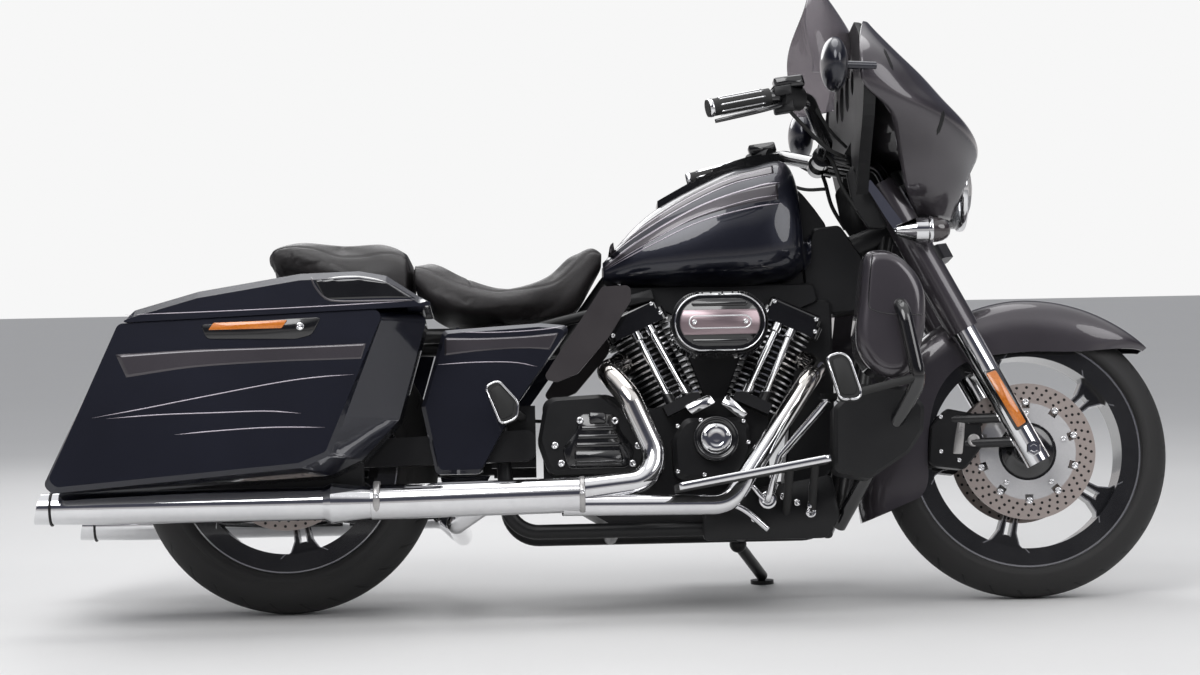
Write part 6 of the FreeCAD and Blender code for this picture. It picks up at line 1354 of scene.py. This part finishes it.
# Middle points of each hose, its radius, and its steps along and round
CABLES = (
    (((1086, -380, 1040), (1120, -340, 1012), (1180, -262, 972), (1228, -200, 960)), 4.2, 50, 10),
    (((1104, -376, 1058), (1150, -318, 1052), (1196, -240, 1010), (1236, -180, 985)), 3.6, 50, 10),
    (((1196, -80, 1004), (1216, -104, 960), (1232, -120, 905), (1262, -126, 852)), 4.6, 50, 10),
)
PEDAL_RODS = (
    (((849, -214, 224), (928, -214, 216), (985, -210, 196), (1038, -204, 152)), 7, 50, 12),
    (((1006, -206, 246), (1036, -206, 216), (1060, -206, 250)), 6, 30, 12),
    (((1128, -202, 196), (1132, -202, 222), (1133, -202, 252)), 5.5, 20, 12),
)


class CRUISER_OT_cockpit(bpy.types.Operator):
    """Grip ribs and caps, levers, reservoirs, switches and cables of the handlebar"""
    bl_idname = "cruiser.cockpit"
    bl_label = "Cockpit"

    def execute(self, context):
        end, inner = np.array((932, -426, 1028)), np.array((1052, -404, 1053))
        along = unit(inner - end)
        side = unit(np.cross(along, (0, 0, 1)))
        upper = np.cross(side, along)
        turns = np.linspace(0, 2 * math.pi, 8, endpoint=False)
        ribs = []
        for turn in turns:
            offset = (side * math.cos(turn) + upper * math.sin(turn)) * 18.6
            ribs.append(sweep(np.linspace(end + along * 12 + offset, inner - along * 14 + offset, 12),
                circle(1.7, 8)))
        steered("grip_ribs", "polished", both(*ribs))
        cap = [(18.4, -8), (19.6, -5), (19.6, 1), (17.5, 3.5), (9, 4), (7.5, 1.5), (1, 1.5)]
        steered("grip_caps", "polished", both(lathe(cap, end - along * 9, -along, 32)))
        blade = np.linspace(1, 0.7, 40)[:, None, None] * circle(1, 12) * 6.2
        path = smooth_path(((1092, -372, 1048), (1072, -408, 1034), (1026, -440, 1016), (968, -446, 1002),
            (934, -438, 996)), 40)
        steered("levers", "gloss_black", both(sweep(path, blade)))
        steered("reservoirs", "gloss_black", both(slab(((1068, 1074), (1062, 1096), (1124, 1104),
            (1130, 1080)), 5, -352, -396, 4)))
        switches = [slab(((1062, 1052), (1060, 1072), (1098, 1078), (1100, 1058)), 4, -398, -414, 2),
            slab(((1064, 1020), (1062, 1042), (1104, 1050), (1106, 1026)), 6, -366, -398, 3)]
        steered("switches", "black_plastic", both(*switches))
        steered("cables", "black_rubber", both(*[hose(*row) for row in CABLES]))
        return {"FINISHED"}


class CRUISER_OT_backing(bpy.types.Operator):
    """Dark covers behind and round the engine, bag guards, and the brake pedal's linkage"""
    bl_idname = "cruiser.backing"
    bl_label = "Engine backing"

    def execute(self, context):
        plates = [slab(*row) for row in BACKING_PLATES.values()]
        piece("engine_backing", "black_metal", plates, smooth=False)
        piece("bag_guards", "black_metal", both(slab(((-320, 240), (-318, 292), (60, 330), (176, 336),
            (176, 256), (120, 244)), 12, -206, -212, 2)))
        piece("lower_guard", "black_metal", slab(((900, 226), (1040, 246), (1180, 268), (1196, 180),
            (1166, 132), (900, 132)), 12, -176, -186, 2))
        piece("coil_covers", "black_plastic", both(slab(((748, 654), (742, 676), (806, 694), (812, 668)), 5,
            -60, -96, 3)))
        boss = [(20, -20), (20, 4), (18, 6.5), (11, 7), (10, 5), (1, 5.5)]
        rods = [hose(*row) for row in PEDAL_RODS]
        piece("pedal_linkage", "polished", [lathe(boss, (1039, -204, 215), OUTWARDS, 36), *rods])
        spots = [(1103, -186, 209), (1073, -186, 223), (1010, -186, 176)]
        piece("guard_screws", "polished", [screws(spots, 8, 7), screws([(1132, -186, 187)], 12, 9)])
        return {"FINISHED"}


LEG_SHIELD = np.array((
    (0.159, 0.99), (0.083, 0.669), (0.0, 0.382), (0.014, 0.235), (0.159, 0.096), (0.448, 0.0), (0.786, 0.051),
    (0.986, 0.382), (1.0, 0.669), (0.869, 0.827), (0.655, 0.949), (0.441, 1.0)))


class CRUISER_OT_board_trim(bpy.types.Operator):
    """Chrome rail and rubber ribs of the floorboards, skins and grooves of the leg shields"""
    bl_idname = "cruiser.board_trim"
    bl_label = "Board trim"

    def execute(self, context):
        slope = math.tan(math.radians(9.6))
        x = np.linspace(842, 1160, 30)
        base = 241 + (x - 844) * slope
        strip = circle(1, 14) * (2.6, 7.5)
        rail = np.stack((x, np.full(30, -370.5), base - 5), -1)
        piece("board_rails", "polished", both(sweep(rail, strip[:, ::-1])))
        ribs = [np.stack((x[2:-2], np.full(26, y), base[2:-2] + 1.6), -1) for y in np.arange(-354, -280, 12)]
        piece("board_ribs", "black_rubber", both(*[sweep(path, circle(2.4, 8)) for path in ribs]))
        form = LEG_SHIELD * (151, 278) + (1223, 453)
        shield = rounded_outline(form, 30, 6)
        piece("shield_skins", "accent_lacquer", both(pillow(shield, -342, -374, 26)))
        groove = [(1262, 720), (1254, 660), (1251, 612), (1262, 598), (1300, 589), (1364, 587)]
        path = [(x, -374.2, z) for x, z in groove]
        piece("shield_grooves", "gloss_black", both(hose(path, 1.1, 60, 6)), slot="black_plastic")
        return {"FINISHED"}


class CRUISER_OT_stage(bpy.types.Operator):
    """Pale floor, plain soft light and the camera"""
    bl_idname = "cruiser.stage"
    bl_label = "Stage"

    def execute(self, context):
        stage = context.scene.cruiser_stage
        edge = np.array(((-30, -30), (30, -30), (30, 30), (-30, 30)), float)
        mesh = bpy.data.meshes.new("floor")
        mesh.from_pydata([(*spot, 0.0) for spot in edge.tolist()], [], [(0, 1, 2, 3)])
        floor = linked("floor", mesh)
        made = Finish("floor_pale")
        tone = np.array(stage.floor)
        made.plain(tuple(tone * 0.97), tuple(tone), (0.55, 0.65), 40.0, 1.5, 0.4)
        mesh.materials.append(made.material)
        make_world(context.scene)
        soft_lamp("key", (-1.6, -3.4, 4.0), (0.0, 0.0, 0.55), 3.2, 120.0)
        soft_lamp("fill", (3.2, -2.6, 2.6), (0.4, 0.0, 0.6), 2.4, 45.0)
        soft_lamp("top", (0.0, 0.6, 4.2), (0.0, 0.0, 0.5), 3.6, 70.0)
        soft_lamp("rim", (-1.0, 3.8, 2.8), (0.0, 0.0, 0.7), 2.6, 45.0)
        camera = bpy.data.cameras.new("camera")
        camera.lens, camera.sensor_width, camera.sensor_fit = stage.lens, 36.0, "HORIZONTAL"
        item = linked("camera", camera)
        yaw, pitch, roll = stage.turn
        turn = Matrix.Rotation(yaw, 4, "Z") @ Matrix.Rotation(pitch, 4, "X") @ Matrix.Rotation(roll, 4, "Y")
        item.matrix_world = (Matrix.Translation(Vector(stage.place)) @ turn
            @ Matrix.Rotation(math.pi / 2, 4, "X"))
        context.scene.camera = item
        context.scene.view_settings.view_transform = "Standard"
        return {"FINISHED"}


def soft_lamp(name, place, target, size, power):
    """A round area lamp that faces its target."""
    data = bpy.data.lights.new(name, "AREA")
    data.shape, data.size, data.energy = "DISK", size, power
    item = linked(name, data)
    item.location = place
    item.rotation_euler = (Vector(target) - Vector(place)).to_track_quat("-Z", "Y").to_euler()


def make_world(scene):
    """Even pale surround: white to the camera and in reflections, softer where it lights the bike."""
    world = bpy.data.worlds.new("surround")
    world.use_nodes = True
    w = Wiring(world.node_tree)
    world.node_tree.nodes.clear()
    path = w.node("LightPath").outputs
    seen = w.most(path["Is Camera Ray"], w.most(path["Is Glossy Ray"], path["Is Transmission Ray"]))
    heading = w.node("TexCoord").outputs["Generated"]
    height = w.node("SeparateXYZ", Vector=heading).outputs[2]
    low = w.step(height, 0.02, 0.20)
    high = w.step(height, 0.46, 0.72)
    glossy = w.mix(high, w.mix(low, (0.62, 0.60, 0.60), (0.065, 0.067, 0.088)), (0.95, 0.95, 0.97))
    shown = w.mix(path["Is Camera Ray"], glossy, (0.93, 0.93, 0.93))
    light = w.mix(seen, (0.46, 0.47, 0.49), shown)
    back = w.node("Background", Color=light, Strength=1.0)
    w.node("OutputWorld", Surface=back.outputs[0])
    scene.world = world


class CRUISER_PT_panel(bpy.types.Panel):
    """Lists the bike's pieces, finishes and sizes"""
    bl_idname = "CRUISER_PT_panel"
    bl_label = "Cruiser"
    bl_space_type = "VIEW_3D"
    bl_region_type = "UI"
    bl_category = "Cruiser"

    def draw(self, context):
        for group in (context.scene.cruiser_paint, context.scene.cruiser_trim, context.scene.cruiser_stage):
            for name in type(group).__annotations__:
                self.layout.prop(group, name)
        for operator in OPERATORS:
            self.layout.operator(operator.bl_idname)


GROUP_CLASSES = (CRUISER_PG_paint, CRUISER_PG_trim, CRUISER_PG_stage)
OPERATORS = (CRUISER_OT_stage, CRUISER_OT_finishes, CRUISER_OT_seats, CRUISER_OT_bag_trim,
             CRUISER_OT_tank_trim,
             CRUISER_OT_engine_trim, CRUISER_OT_exhaust_trim, CRUISER_OT_front_trim, CRUISER_OT_foot_trim,
             CRUISER_OT_fairing_trim, CRUISER_OT_cockpit, CRUISER_OT_backing, CRUISER_OT_board_trim)


def register():
    for item in (*GROUP_CLASSES, *OPERATORS, CRUISER_PT_panel):
        bpy.utils.register_class(item)
    for name, group in zip(("cruiser_paint", "cruiser_trim", "cruiser_stage"), GROUP_CLASSES):
        setattr(bpy.types.Scene, name, bpy.props.PointerProperty(type=group))


def unregister():
    for name in ("cruiser_paint", "cruiser_trim", "cruiser_stage"):
        delattr(bpy.types.Scene, name)
    for item in reversed((*GROUP_CLASSES, *OPERATORS, CRUISER_PT_panel)):
        bpy.utils.unregister_class(item)


def main():
    register()
    for operator in OPERATORS:
        group, action = operator.bl_idname.split(".")
        getattr(getattr(bpy.ops, group), action)()


if __name__ == "__main__":
    main()
